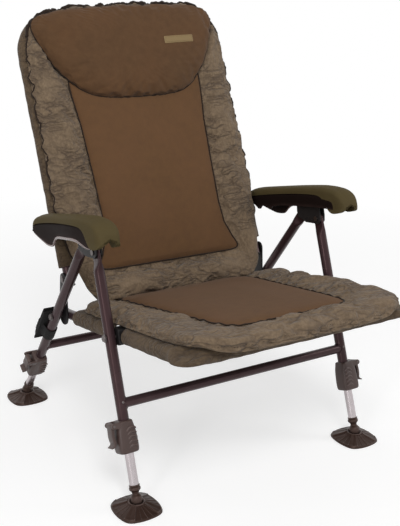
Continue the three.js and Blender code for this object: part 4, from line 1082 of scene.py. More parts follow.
def armParts(side, sign):
    a = arm
    stations = easeRows(shellLine, 3)
    rings = []
    lowIn = np.interp(stations[:, 0], [p[0] for p in notchLine], [p[1] for p in notchLine])
    for (u, low, roof, taper), inLow in zip(stations, lowIn):
        outer = armSide(u)
        rings.append(archRing(u, min(inLow, roof - 12), min(low, roof - 12), roof, a["inner"], outer,
                              a["edge"], a["wall"]))
    shape = addRings(emptyShape(), rings)
    rim = [(armSide(u) - 0.6, u, min(low, roof - 12) + 0.8) for u, low, roof, taper in stations]
    thick = np.interp([p[1] for p in rim], [-66, -40, 10, 110, 150, 262], [0.6, 1.4, 3.0, 3.0, 2.2, 1.0])
    # a bead along the shell's lower edge in the rim finish, whose lighter colour is a painted highlight
    addTube(shape, rim, thick, count=12, finish=1)
    tail = [(x, 262.4, z) for x, z in ((a["inner"] + 0.4, 42), (a["rearOuter"] - 0.4, 42),
                                       (a["rearOuter"] - 0.4, 48), (a["rearOuter"] - 8, 52),
                                       (a["inner"] + 8, 52), (a["inner"] + 0.4, 48))]
    addRings(shape, [tail, [(x, y - 2.6, z) for x, y, z in tail]])
    shell = makePiece(f"armShell_{side}", shape, places["arm"], [finish["shell"], finish["rim"]],
                      mirror=sign, sharp=50)
    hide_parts(f"armrest_shell_{side}")
    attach(shell, f"armrest_{side}")

    padRows = [  # along, lower edge, top, side pull
        (-96.6, 24.5, 31.5, 11.0), (-96.0, 21.8, 36.0, 7.0), (-94.0, 18.6, 41.5, 4.4),
        (-91.0, 15.8, 46.2, 2.6), (-87.0, 13.6, 51.0, 1.2), (-82.0, 12.2, 55.2, 0.4),
        (-75.0, 11.3, 59.4, 0.0), (-66.0, 11.0, 63.2, 0.0), (-58.0, 12.5, 65.4, 0.0),
        (-50.0, 17.5, 67.0, 0.0), (-43.0, 27.0, 68.4, 0.0), (-36.0, 38.0, 69.6, 0.0),
        (-28.0, 46.5, 70.7, 0.0), (-18.0, 51.6, 71.7, 0.0), (-4.0, 54.4, 72.4, 0.0),
        (20.0, 56.4, 73.2, 0.0), (62.0, 58.2, 74.0, 0.0), (110.0, 58.8, 74.2, 0.0), (160.0, 58.6, 74.2, 0.0),
        (205.0, 57.6, 73.8, 0.0), (235.0, 55.6, 71.4, 0.0), (250.0, 53.6, 68.2, 0.4),
        (258.0, 51.6, 64.0, 1.4), (262.0, 50.6, 59.0, 3.0), (263.6, 50.4, 55.6, 6.0),
    ]
    rings = []
    for u, low, top, pull in easeRows(padRows, 3):
        inner = a["inner"] + 0.1 + pull
        outer = armSide(u) + a["proud"] - pull
        if u < -62:
            thick = min((top - low) / 2 - 0.4, (outer - inner) / 2 - 0.5, 9.0)
        else:
            roof = float(np.interp(u, [s[0] for s in shellLine], [s[2] for s in shellLine]))
            thick = np.interp(u, [-62, -40, -20], [7.0, 3.0, a["proud"]])
        ring = archRing(u, low, low, top, inner, outer, 11.0, thick, crown=2.2, bulge=0.6)
        if u >= -62:  # lie on the shell's roof
            half = len(ring) // 2
            ring = ring[:half] + [(x, y, min(z, max(roof + 0.5, low))) for x, y, z in ring[half:]]
        rings.append(ring)
    cover = makePiece(f"armPad_{side}", addRings(emptyShape(), rings), places["arm"], [finish["olive"]],
                      mirror=sign, sharp=60)
    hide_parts(f"armrest_cover_{side}")
    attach(cover, f"armrest_{side}")
    seam = [(armSide(r[0]) + a["proud"] + 0.2, r[0], r[1] + 2.2) for r in easeRows(padRows, 6)
            if -70 < r[0] < 252]
    line = toRow(places["arm"], np.array(seam) * [sign, 1, 1])
    stitches = stitchesOn(f"armStitches_{side}", [(line, False)], "olive", 5.0, 3.4, 0.42)
    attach(stitches, f"armrest_{side}")
    paintNode(f"armrest_bracket_{side}", finish["black"])


for side, sign in sides.items():
    armParts(side, sign)
print("armrests made")


# ---- cushions: rings from the middle out over the border, round the edge and in underneath
def noiseAt(x, y, z=0.0):
    return noise.noise(Vector((x, y, z)))


# heights and sizes in millimetres; a size is along the edge or the fold, then across it
creaseLook = {
    "swell": 3.6, "fold": 4.2, "second": 1.8, "pucker": 3.0, "puckerReach": 18.0, "ease": 5.0,
    "lastHeight": 0.13, "swellSize": (38, 48), "patchSize": (55, 45), "foldSize": (17, 58),
    "secondSize": (9, 30), "puckerSize": (7.5, 60), "panelSwell": 0.9, "panelSize": 60, "seamDip": 1.0,
    "seamReach": 16, "seamSize": 9,
}


def sizedNoise(u, v, size, seed):
    return noiseAt(u / size[0], v / size[1], seed)


def ridge(value, steep):
    return max(0.0, 1 - abs(value) * steep)


# puckers at the seam, crossing creases that come and go, and slow swells
def creaseAt(around, away, wide, seed):
    look = creaseLook
    way = 0.6 if noiseAt(around / 120, 0.5, seed + 9) > 0 else -0.6
    swirl = 0.9 * noiseAt(around / 70, away / 60, seed) + way
    u = around * math.cos(swirl) + away * math.sin(swirl)
    v = away * math.cos(swirl) - around * math.sin(swirl)
    patch = float(smoothStep(sizedNoise(around, away, look["patchSize"], seed + 5.1), -0.28, 0.3))
    fold = ridge(sizedNoise(u, v, look["foldSize"], seed), 3.4)
    second = ridge(sizedNoise(u, v, look["secondSize"], seed + 2.2), 3.6)
    swell = sizedNoise(around, away, look["swellSize"], seed + 3.1)
    pucker = ridge(sizedNoise(around, away, look["puckerSize"], seed + 8.8), 3.0)
    edge = min(away, max(wide - away, 0.0))
    folds = patch * (look["fold"] * fold + look["second"] * second)
    return look["swell"] * swell - folds - look["pucker"] * pucker * math.exp(-edge / look["puckerReach"])


def gridNormals(grid, towards):
    around = np.roll(grid, -1, 1) - np.roll(grid, 1, 1)
    across = np.gradient(grid, axis=0)
    normal = np.cross(around, across)
    normal /= np.maximum(np.linalg.norm(normal, axis=2, keepdims=True), 1e-9)
    middle = grid.shape[0] // 4
    return normal * (1 if (normal[middle] @ towards).mean() > 0 else -1)


def creaseCover(grid, rows, heightColumn, seamAt, towards, seed, amount):
    normal = gridNormals(grid, towards)
    outer = grid[int(np.argmax(np.ptp(grid[:, :, 0], axis=1)))]
    steps = np.linalg.norm(np.roll(outer, -1, 0) - outer, axis=1)
    around = np.concatenate([[0], np.cumsum(steps)[:-1]])
    spans = np.linalg.norm(np.diff(grid, axis=0), axis=2)
    away = np.concatenate([np.zeros((1, grid.shape[1])), np.cumsum(spans, axis=0)])
    away = away - away[seamAt]
    look = creaseLook
    lastRow = seamAt + int(np.argmax(rows[seamAt:, heightColumn] < look["lastHeight"]))
    lift = np.zeros(away.shape)
    for k in range(grid.shape[0]):
        if k <= seamAt:
            for i in range(grid.shape[1]):
                near = math.exp(away[k, i] / look["seamReach"])
                x, z = grid[k, i, 0] / look["panelSize"], grid[k, i, 2] / look["panelSize"]
                dip = look["seamDip"] * near * (0.3 + noiseAt(around[i] / look["seamSize"], 0.6, seed + 1.5))
                lift[k, i] = look["panelSwell"] * noiseAt(x, z, seed) * (1 - near) - dip * (k < seamAt)
        elif k <= lastRow:
            for i in range(grid.shape[1]):
                wide = away[lastRow, i]
                ease = float(smoothStep(min(away[k, i], wide - away[k, i]), 0.0, look["ease"]))
                lift[k, i] = amount * ease * creaseAt(around[i], away[k, i], wide, seed)
    return grid + normal * lift[:, :, None]


# air and a little spare cloth puff a cover out between its seams, on a coarser net; what is sewn down stays
def puffCover(name, grid, held, feel):
    skipRow, skipRound = feel["net"]
    picked = np.unique(np.append(np.arange(0, grid.shape[0], skipRow), grid.shape[0] - 1))
    net = grid[picked][:, ::skipRound] * mm
    shape = addRings(emptyShape(), list(net), strip=True)
    mesh = bpy.data.meshes.new(name + "Net")
    mesh.from_pydata([tuple(p) for p in shape["points"]], [], shape["faces"])
    cover = bpy.data.objects.new(name + "Net", mesh)
    scene.collection.objects.link(cover)
    work = bmesh.new()
    work.from_mesh(mesh)
    bmesh.ops.recalc_face_normals(work, faces=work.faces)
    work.to_mesh(mesh)
    work.free()
    levels = np.clip(held, 0, 1)[picked][:, ::skipRound].ravel()
    levels = np.round(levels * 10) / 10
    group = cover.vertex_groups.new(name="sewnDown")
    for level in np.unique(levels):
        if level > 0:
            group.add(np.nonzero(levels == level)[0].tolist(), float(level), "REPLACE")
    modifier = cover.modifiers.new("cover", "CLOTH")
    cloth = modifier.settings
    cloth.quality, cloth.mass, cloth.air_damping = 4, 0.3, 1.0
    cloth.tension_stiffness = cloth.compression_stiffness = feel["stretch"]
    cloth.shear_stiffness, cloth.bending_stiffness = feel["stretch"] / 3, feel["bend"]
    cloth.vertex_group_mass, cloth.pin_stiffness = group.name, 1.0
    cloth.shrink_min = -feel["spare"]
    cloth.use_pressure, cloth.uniform_pressure_force = True, feel["air"]
    cloth.effector_weights.gravity = 0.0
    modifier.collision_settings.use_collision = modifier.collision_settings.use_self_collision = False
    modifier.point_cache.frame_start, modifier.point_cache.frame_end = 1, feel["frames"]
    for step in range(1, feel["frames"] + 1):
        scene.frame_set(step)
    graph = bpy.context.evaluated_depsgraph_get()
    puffed = np.empty(len(mesh.vertices) * 3)
    cover.evaluated_get(graph).data.vertices.foreach_get("co", puffed)
    puffed = puffed.reshape(-1, 3)[: net.shape[0] * net.shape[1]].reshape(net.shape)
    dropObject(cover)
    scene.frame_set(1)
    moved = np.nan_to_num(puffed - net) / mm
    size = np.linalg.norm(moved, axis=2, keepdims=True)
    moved = moved * feel["cap"] * np.tanh(size / feel["cap"]) / np.maximum(size, 1e-6)
    print(name, "puffed by up to", round(float(np.linalg.norm(moved, axis=2).max()), 1), "mm")
    rowAt = np.interp(np.arange(grid.shape[0]), picked, np.arange(len(picked)))
    low = np.minimum(rowAt.astype(int), len(picked) - 2)
    part = (rowAt - low)[:, None, None]
    byRow = moved[low] * (1 - part) + moved[low + 1] * part
    roundAt = np.arange(grid.shape[1]) / skipRound
    first = roundAt.astype(int) % net.shape[1]
    second = (first + 1) % net.shape[1]
    t = smoothStep(roundAt - roundAt.astype(int), 0, 1)[None, :, None]
    return grid + byRow[:, first] * (1 - t) + byRow[:, second] * t


flatPlace = placeAt(0, 0, 0)


def cushionFrom(name, rings, place, finishes, marks, held, feel, rows, heightColumn, seamAt, towards,
                flip=False):
    if flip:
        rings = [np.stack([r[:, 0], -r[:, 2], r[:, 1]], 1) for r in rings]
    grid = np.stack([toRow(place, ring) / mm for ring in rings])
    grid = puffCover(name, grid, held, feel)
    if feel["creases"]:
        grid = creaseCover(grid, rows, heightColumn, seamAt, np.array(towards), feel["seed"], feel["creases"])
    shape = addRings(emptyShape(), list(grid), finishes=marks, strip=True)
    return makePiece(name, shape, flatPlace, finishes, sharp=80, subdivide=1), grid


def cordOn(name, line, radius, material, loop, rough=0.0, seed=0.0):
    line = np.asarray(line, float)
    thick = np.array([radius * (1 + rough * noiseAt(p[0] / 9, p[1] / 9, p[2] / 9 + seed)) for p in line])
    shape = addTube(emptyShape(), line, thick, count=8, loop=loop)
    return makePiece(name, shape, flatPlace, [material], sharp=80)


restHeight = 17.6
seatPad = {"half": 261.0, "front": 295.0, "tail": 214.0, "thick": 31.0, "droop": 17.0, "tuck": 0.08,
           "tuckFrom": 0.62, "panelRear": 168.0, "panelFront": 146.0, "count": 360}
seatFeel = {"spare": 0.06, "air": 2.0, "stretch": 12.0, "bend": 0.3, "frames": 12, "cap": 6.0, "net": (2, 3),
            "creases": 1.0, "seed": 2.0}
# half width, front, tail shares, squareness in front and behind, height share, how far sewn down
seatRows = [
    (0.02, 0.02, 0.02, 2.4, 2.4, 0.80, 1.0), (0.25, 0.35, 0.4, 3.4, 3.4, 0.78, 1.0),
    (0.44, 0.62, 0.75, 4.6, 7, 0.71, 1.0), (0.52, 0.72, 0.89, 8.0, 12, 0.62, 1.0),
    (0.56, 0.765, 0.915, 8.6, 14, 0.48, 1.0), (0.585, 0.78, 0.925, 8.4, 14, 0.58, 0.3),
    (0.67, 0.82, 0.94, 5.8, 14, 0.78, 0.0), (0.78, 0.87, 0.955, 5.8, 12, 0.9, 0.0),
    (0.88, 0.92, 0.97, 5.6, 10, 0.92, 0.0), (0.95, 0.965, 0.98, 5.4, 8, 0.82, 0.0),
    (0.985, 0.99, 0.99, 5.2, 7, 0.6, 0.0), (1.0, 1.0, 1.0, 5.2, 7, 0.34, 0.5),
    (0.992, 0.994, 0.995, 5.2, 7, 0.12, 1.0), (0.965, 0.975, 0.975, 5.4, 7, 0.02, 1.0),
    (0.9, 0.92, 0.92, 6, 7, 0.0, 1.0), (0.45, 0.5, 0.5, 5, 5, 0.0, 1.0), (0.02, 0.02, 0.02, 3, 3, 0.0, 1.0),
]
seatSpans = [5, 6, 5, 3, 3, 5, 6, 6, 5, 5, 4, 4, 3, 3, 3, 2]


def unevenRing(halfX, low, high, powerLow, powerHigh, count):
    turn = 2 * np.pi * (np.arange(count) + 0.5) / count
    c, s = np.cos(turn), np.sin(turn)
    power = np.where(s > 0, powerHigh, powerLow)
    # even steps along a squarish ring rather than a crowd at its corners
    radius = (np.abs(c) ** power + np.abs(s) ** power) ** (-1 / power)
    x, y = radius * c, radius * s
    return np.stack([halfX * x, (low + high) / 2 + (high - low) / 2 * y, np.zeros(count)], 1), np.abs(x), y


def sewnDown(column, count):
    return np.repeat(np.clip(column, 0, 1)[:, None], count, 1)


def seatRing(row, count):
    wide, ahead, behind, powerFront, powerRear, height, _ = row
    p = seatPad
    ring, across, along = unevenRing(p["half"] * wide, -p["front"] * ahead, p["tail"] * behind, powerFront,
                                     powerRear, count)
    x, y = ring[:, 0], ring[:, 1]
    panel = p["panelRear"] + (p["panelFront"] - p["panelRear"]) * np.clip((120 - y) / 330, 0, 1)
    weight = 1 - smoothStep(wide, 0.58, 0.88)
    if height > 0:
        ring[:, 0] = x * (1 + (panel / (p["half"] * 0.56) - 1) * weight)
    share = max(height, 0)
    fall = p["tuck"] * np.maximum(0, y - p["tail"] * p["tuckFrom"])
    drop = p["droop"] * smoothStep(-y, p["front"] * 0.85, p["front"]) * (1 - 0.6 * min(share, 1))
    ring[:, 2] = np.maximum(restHeight - drop, restHeight + p["thick"] * share - fall - drop)
    if height <= 0.001:
        ring[:, 2] = restHeight
    return ring


rows = easeRows(seatRows, seatSpans)
seamAt = sum(seatSpans[:4])
rings = [seatRing(row, seatPad["count"]) for row in rows]
held = sewnDown(rows[:, 6], seatPad["count"])
marks = [0 if k < seamAt else 1 for k in range(len(rings) - 1)]
seatMattress, seatCoords = cushionFrom("seatMattress", rings, places["seat"],
                                       [finish["fleece"], finish["border"]], marks, held,
                                         seatFeel, rows, 5, seamAt, places["seat"]["up"])
bindAt = sum(seatSpans[:11]) + 1
seatTrim = [
    cordOn("seatPiping", seatCoords[seamAt] + np.array([0, 0, 1.2]), 1.5, finish["piping"], True, 0.2),
    cordOn("seatBinding", seatCoords[bindAt], 2.0, finish["border"], True, 0.3, 4.0),
    stitchesOn("seatStitches", [(seatCoords[seamAt + 1] * mm, True), (seatCoords[bindAt - 2] * mm, True)],
               "piping", 6.0, 3.6, 0.4),
]
joinPieces(seatMattress, seatTrim)
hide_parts("seat_mattress")
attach(seatMattress, "seat_frame")
print("seat mattress made")

backPad = {"half": 263.0, "foot": -2.0, "head": 622.0, "thick": 29.0, "footBlend": 90.0, "panelShare": 0.62,
           "rollDrop": 40.0, "rollOut": 33.0, "rollTall": 30.0, "rollDeep": 24.0, "count": 440, "lean": 0.045,
           "panelAt": ((5, 206), (20, 190), (36, 176), (71, 160), (120, 156), (220, 159), (330, 164),
                       (440, 178), (560, 190))}
backFeel = {"spare": 0.06, "air": 1.8, "stretch": 12.0, "bend": 0.3, "frames": 12, "cap": 5.0, "net": (2, 4),
            "creases": 1.0, "seed": 11.0}
# half width, foot inset, head inset shares, squareness below and above, height share, how far sewn down,
# turn round the roll, how far on the roll
backRows = [
    (0.02, 0.95, 0.95, 2.4, 2.4, 0.70, 1.0, 112, 0), (0.3, 0.6, 0.8, 3.0, 3.0, 0.69, 1.0, 112, 0),
    (0.5, 0.13, 0.52, 8, 5, 0.64, 1.0, 112, 0), (0.585, 0.045, 0.42, 12, 6, 0.52, 1.0, 112, 0),
    (0.61, 0.024, 0.4, 14, 6, 0.36, 1.0, 108, 0.1), (0.635, 0.018, 0.37, 14, 6, 0.56, 0.3, 92, 0.9),
    (0.7, 0.012, 0.3, 12, 6, 0.86, 0.0, 62, 1), (0.82, 0.008, 0.18, 9, 6, 1.02, 0.0, 22, 1),
    (0.91, 0.004, 0.1, 8, 6, 0.95, 0.0, -14, 1), (0.965, 0.002, 0.04, 7, 6, 0.7, 0.0, -45, 1),
    (1.0, 0.0, 0.0, 6, 6, 0.34, 0.4, -75, 1), (0.993, 0.0, 0.005, 6, 6, 0.12, 1.0, -105, 1),
    (0.965, 0.0, 0.02, 6, 6, 0.02, 1.0, -135, 1), (0.9, 0.01, 0.06, 6, 6, 0.0, 1.0, -165, 1),
    (0.45, 0.5, 0.5, 4, 4, 0.0, 1.0, -165, 0), (0.02, 0.95, 0.95, 3.0, 3.0, 0.0, 1.0, -165, 0),
]
backSpans = [6, 8, 5, 3, 3, 5, 7, 6, 5, 4, 4, 3, 3, 4, 3]
pillow = {"base": restHeight + 11.6, "thick": 34.0, "centre": 505.0, "count": 360, "outline": (
    (0, 392), (60, 393.5), (110, 400), (143, 415), (166, 435), (190, 461), (208, 488), (222, 518),
    (234, 546), (239, 566), (237, 582), (227, 595), (204, 603), (165, 609), (100, 613), (0, 614.5))}


def pillowEdge(count):
    half = easeRows(pillow["outline"], 12)
    loop = np.concatenate([half, (half * [-1, 1])[::-1][1:-1]])
    steps = np.linalg.norm(np.roll(loop, -1, 0) - loop, axis=1)
    along = np.concatenate([[0], np.cumsum(steps)])
    loop = np.concatenate([loop, loop[:1]])
    wanted = np.linspace(0, along[-1], count, endpoint=False)
    return np.stack([np.interp(wanted, along, loop[:, 0]), np.interp(wanted, along, loop[:, 1])], 1)


pillowLoop = pillowEdge(pillow["count"])
pillowLoop[:, 1] += backPad["lean"] * pillowLoop[:, 0] * smoothStep(pillowLoop[:, 1], 330, 520)
pillowTurn = np.arctan2(pillowLoop[:, 1] - pillow["centre"], pillowLoop[:, 0])
pillowReach = np.hypot(pillowLoop[:, 1] - pillow["centre"], pillowLoop[:, 0])
turnOrder = np.argsort(pillowTurn)


def insidePillow(x, y):
    turn = np.arctan2(y - pillow["centre"], x)
    reach = np.interp(turn, pillowTurn[turnOrder], pillowReach[turnOrder], period=2 * np.pi)
    return np.hypot(y - pillow["centre"], x) / reach


def backRing(row, count):
    wide, lowInset, highInset, powerLow, powerHigh, height, _, rollTurn, onRoll = row
    p = backPad
    low, high = p["foot"] + p["half"] * lowInset, p["head"] - p["half"] * highInset
    ring, across, along = unevenRing(p["half"] * wide, low, high, powerLow, powerHigh, count)
    x, y = ring[:, 0], ring[:, 1].copy()
    ring[:, 1] += p["lean"] * x * smoothStep(y, 330, 520)
    panel = np.interp(y, [q[0] for q in p["panelAt"]], [q[1] for q in p["panelAt"]])
    weight = 1 - smoothStep(wide, 0.62, 0.9)
    if height > 0:
        ring[:, 0] = x * (1 + (panel / (p["half"] * 0.61) - 1) * weight)
    blend = smoothStep(y, p["foot"], p["foot"] + p["footBlend"])
    ring[:, 2] = restHeight
    if height > 0.001:
        ring[:, 2] += p["thick"] * np.minimum(height, p["panelShare"] + blend)
    # along the foot the border is the roll that lies on the seat
    weight = smoothStep(-along - across, -0.22, 0.22) * np.clip(onRoll, 0, 1)
    a = math.radians(rollTurn)
    ring[:, 0] *= 1 - 0.04 * weight
    ring[:, 1] += weight * (-p["rollDrop"] + p["rollTall"] * math.sin(a) - ring[:, 1])
    ring[:, 2] += weight * (p["rollOut"] + p["rollDeep"] * math.cos(a) - ring[:, 2])
    return ring


rows = easeRows(backRows, backSpans)
seamAt = sum(backSpans[:4])
rings = [backRing(row, backPad["count"]) for row in rows]
shelf = restHeight + 10.4
held = sewnDown(rows[:, 6], backPad["count"])
for k, ring in enumerate(rings):  # the pillow lies in a hollow of the cushion behind it
    pressed = 1 - smoothStep(insidePillow(ring[:, 0], ring[:, 1]), 0.955, 1.03)
    ring[:, 2] = np.where(ring[:, 2] > shelf, shelf + (ring[:, 2] - shelf) * (1 - pressed), ring[:, 2])
    held[k] = np.maximum(held[k], pressed)
marks = [0 if k < seamAt else 1 for k in range(len(rings) - 1)]
backMattress, backCoords = cushionFrom("backMattress", rings, places["back"],
                                       [finish["fleece"], finish["border"]], marks, held, backFeel, rows, 5,
                                       seamAt, -places["back"]["back"], True)
localHigh = (backCoords - places["back"]["origin"]) @ places["back"]["up"]
seamLine, seamHigh = backCoords[seamAt], localHigh[seamAt]
order = np.roll(np.arange(len(seamLine)), -int(np.argmax(seamHigh)))
seamPath = seamLine[order][seamHigh[order] < 520] - places["back"]["back"]
edgeAt = sum(backSpans[:10]) + 1
edgeHigh = localHigh[edgeAt]
hemOrder = np.roll(np.arange(len(seamLine)), -int(np.argmin(edgeHigh)))
hemPath = backCoords[edgeAt][hemOrder][edgeHigh[hemOrder] > 545]
scallop = np.array([3.0 * noiseAt(p[0] / 42, 0.7, 3.3) + 1.2 * noiseAt(p[0] / 11, 2.7, 3.3) for p in hemPath])
hemPath = hemPath + np.outer(scallop, places["back"]["up"])
backTrim = [
    cordOn("backPiping", seamPath, 1.6, finish["piping"], False, 0.2),
    cordOn("backEdging", backCoords[edgeAt][order][edgeHigh[order] > 24], 1.9, finish["piping"], False, 0.3,
           4.0),
    cordOn("backHem", hemPath, 4.4, finish["piping"], False, 0.5, 9.0),
    stitchesOn("backStitches", [(backCoords[seamAt + 1][order][seamHigh[order] < 520] * mm, False)],
               "piping", 6.0, 3.6, 0.4),
]
joinPieces(backMattress, backTrim)
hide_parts("back_mattress", "mattress_bridge_roll")
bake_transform(backMattress)
print("back mattress made")

pillowRows = [(0.02, 1.03, 1.0), (0.3, 1.02, 1.0), (0.55, 0.98, 0.9), (0.76, 0.88, 0.5), (0.89, 0.7, 0.2),
              (0.96, 0.48, 0.1), (0.99, 0.28, 0.4), (1.0, 0.14, 1.0), (0.985, 0.05, 1.0), (0.95, 0.01, 1.0),
              (0.88, 0.0, 1.0), (0.4, 0.0, 1.0), (0.02, 0.0, 1.0)]
pillowFeel = {"spare": 0.02, "air": 1.5, "stretch": 12.0, "bend": 0.6, "frames": 10, "cap": 4.0,
              "net": (2, 4), "creases": 0}
rows = easeRows(pillowRows, 5)
rings = []
for share, height, _ in rows:
    ring = np.zeros((pillow["count"], 3))
    ring[:, 0] = pillowLoop[:, 0] * share
    ring[:, 1] = pillow["centre"] + (pillowLoop[:, 1] - pillow["centre"]) * share
    ring[:, 2] = pillow["base"] + pillow["thick"] * height
    if height > 0.02:
        edge = float(smoothStep(share, 0.6, 0.97))
        fade = float(smoothStep(height, 0.05, 0.5))
        for i in range(len(ring)):
            x, y = ring[i, 0], ring[i, 1]
            corner = math.exp(-(math.hypot(abs(x) - 225, y - 585) / 34) ** 2)
            swell = 1.5 * noiseAt(x / 75, y / 60, 4.4)
            ring[i, 2] += fade * (swell + 0.7 * edge * noiseAt(x / 15, y / 22, 6.1))
            turn = math.atan2(y - 560, abs(x) - 200)
            ring[i, 2] -= corner * edge * (3.0 + 5.0 * noiseAt(turn * 5.5, 0.2, 1.0 if x > 0 else 4.0))
    rings.append(ring)
held = sewnDown(rows[:, 2], pillow["count"])
headrest, pillowCoords = cushionFrom("headrestPillow", rings, places["back"], [finish["pillow"]],
                                     [0] * (len(rings) - 1), held,
                                       pillowFeel, rows, 1, 0, -places["back"]["back"], True)
joinPieces(headrest, [cordOn("pillowPiping", pillowCoords[7 * 5], 2.0, finish["piping"], True, 0.3)])
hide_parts("headrest_pillow")
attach(headrest, "back_frame")

# bare khaki patch
patch = {"x": 118.0, "y": 520.0, "half": 41.0, "high": 8.4, "tilt": 2.6, "columns": 33, "rows": 9}
graph = bpy.context.evaluated_depsgraph_get()
graph.update()
surface = headrest.evaluated_get(graph)


def onPillow(x, z, lift):
    origin = Vector(toRow(places["back"], [(x, -120, z)])[0])
    ahead = Vector(places["back"]["back"])
    hit, where, normal, _ = surface.ray_cast(origin, ahead)
    return np.array(where + normal * lift * mm) if hit else np.array(origin)


points = []
for j in range(patch["rows"]):
    for i in range(patch["columns"]):
        sx, sz = -1 + 2 * i / (patch["columns"] - 1), -1 + 2 * j / (patch["rows"] - 1)
        inset = 1.0 - 0.03 * (abs(sz) > 0.99)
        lift = 1.3 if max(abs(sx), abs(sz)) < 0.97 else 0.2
        x, z = patch["x"] + patch["half"] * sx * inset, patch["y"] + patch["high"] * sz + patch["tilt"] * sx
        points.append(onPillow(x, z, lift))
n = patch["columns"]
faces = [(j * n + i, j * n + i + 1, (j + 1) * n + i + 1, (j + 1) * n + i)
         for j in range(patch["rows"] - 1) for i in range(n - 1)]
mesh = bpy.data.meshes.new("barePatch")
mesh.from_pydata([tuple(p) for p in points], [], faces)
mesh.materials.append(finish["label"])
label = bpy.data.objects.new("barePatch", mesh)
scene.collection.objects.link(label)
thicker = label.modifiers.new("thick", "SOLIDIFY")
thicker.thickness, thicker.offset = 1.2 * mm, 0
applyModifiers(label)
tidyMesh(label)
smoothShade(label, 50)
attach(label, "back_frame")
frameLine = [onPillow(patch["x"] + 38.6 * sx, patch["y"] + 6.2 * sz + patch["tilt"] * sx * 0.94, 2.0)
             for sx, sz in
             [*((s, -1) for s in np.linspace(-1, 1, 20)), *((1, s) for s in np.linspace(-0.8, 0.8, 5)),
              *((s, 1) for s in np.linspace(1, -1, 20)), *((-1, s) for s in np.linspace(0.8, -0.8, 5))]]
patchStitches = stitchesOn("patchStitches", [(frameLine, True)], "fleece", 3.6, 2.6, 0.36)
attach(patchStitches, "back_frame")
print("headrest made")

# ---- slings: cloth pulled over the frame and wrapped round its tube
sling = {"sleeve": 17.2, "wrap": 3.5, "steps": 16, "seatRear": -206.0, "backRear": 26.0, "tip": 27.0,
         "saddle": 22.0}


def slingShape(halfX, rear, far, bend, tip, gapAt, toLocal, seed):
    radius = sling["sleeve"]
    straight = [((-halfX, y), (-1.0, 0.0)) for y in np.linspace(rear, far - bend, 74, endpoint=False)]
    centre = np.array([-(halfX - bend), far - bend])
    bendPart = []
    for a in np.linspace(math.pi, math.pi / 2, 16):
        way = np.array([math.cos(a), math.sin(a)])
        bendPart.append((tuple(centre + bend * way), tuple(way)))
    left = straight + bendPart
    across = 60
    rows = [[(p[0] + (-2 * p[0]) * m / across, p[1]) for m in range(across + 1)] for p, _ in left]
    points, faces, heights = [], [], []
    for row in rows:
        for x, y in row:
            inside = float(smoothStep(halfX - abs(x), 0, 80) * smoothStep(far - y, 0, 80))
            points.append((x, y, radius - 1.2 * inside + 0.8 * (1 - inside) * noiseAt(x / 20, y / 26, seed)))
    for k in range(len(rows) - 1):
        for m in range(across):
            a = k * (across + 1) + m
            faces.append((a, a + 1, a + across + 2, a + across + 1))
    rim = [(k * (across + 1), *left[k]) for k in range(len(left))]
    last = len(left) - 1
    rim += [(last * (across + 1) + m, rows[last][m], (0.0, 1.0)) for m in range(1, across)]
    rim += [(k * (across + 1) + across, (-p[0], p[1]), (-n[0], n[1]))
            for k, (p, n) in reversed(list(enumerate(left)))]
    before = [r[0] for r in rim]
    for step in range(1, sling["steps"] + 1):
        turn = sling["wrap"] * step / sling["steps"]
        now = []
        for index, (_, p, n) in enumerate(rim):
            corner = max(0.0, 2 * abs(n[0] * n[1])) ** 1.5
            reach = radius * math.sin(turn) * (1 + tip / radius * corner)
            low = radius * math.cos(turn) * (1 - 0.55 * corner * min(tip, 1))
            low -= 6.0 * corner * min(tip, 1) * math.sin(min(turn, math.pi))
            pucker = noiseAt(index / 2.6, turn * 1.2, seed)
            pucker += 0.8 * noiseAt(index / 6.0, turn * 2.0, seed + 4)
            now.append(len(points))
            out = reach + pucker * math.sin(turn)
            points.append((p[0] + n[0] * out, p[1] + n[1] * out, low + pucker * math.cos(turn)))
        for i in range(len(rim) - 1):
            middle = (rim[i][1][1] + rim[i + 1][1][1]) / 2
            if gapAt and abs(middle) < gapAt and abs(rim[i][2][0]) > 0.9:
                continue
            faces.append((before[i], before[i + 1], now[i + 1], now[i]))
        before = now
    return {"points": [toLocal(*p) for p in points], "faces": faces, "finish": [0] * len(faces)}


def slingPiece(name, shape, node, body, place):
    piece = makePiece(name, shape, places[place], [finish["sling"]], sharp=80)
    work = bmesh.new()
    work.from_mesh(piece.data)
    bmesh.ops.delete(work, geom=[v for v in work.verts if not v.link_faces], context="VERTS")
    work.to_mesh(piece.data)
    work.free()
    solid = piece.modifiers.new("thick", "SOLIDIFY")
    solid.thickness, solid.offset = 1.4 * mm, -1
    applyModifiers(piece)
    smoothShade(piece, 80)
    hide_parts(node + "_sling")
    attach(piece, body)


seatShape = slingShape(tubes["half"], sling["seatRear"], tubes["front"], tubes["seatBend"], sling["tip"],
                       sling["saddle"], lambda x, y, z: (x, -y, z), 2.2)
slingPiece("seatSling", seatShape, "seat", "seat_frame", "seat")
backShape = slingShape(tubes["half"], sling["backRear"], tubes["top"], tubes["backBend"], 0.0, 0.0, lambda x,
                       y, z: (x, -z, y), 6.2)
slingPiece("backSling", backShape, "back", "back_frame", "back")
print("slings made")

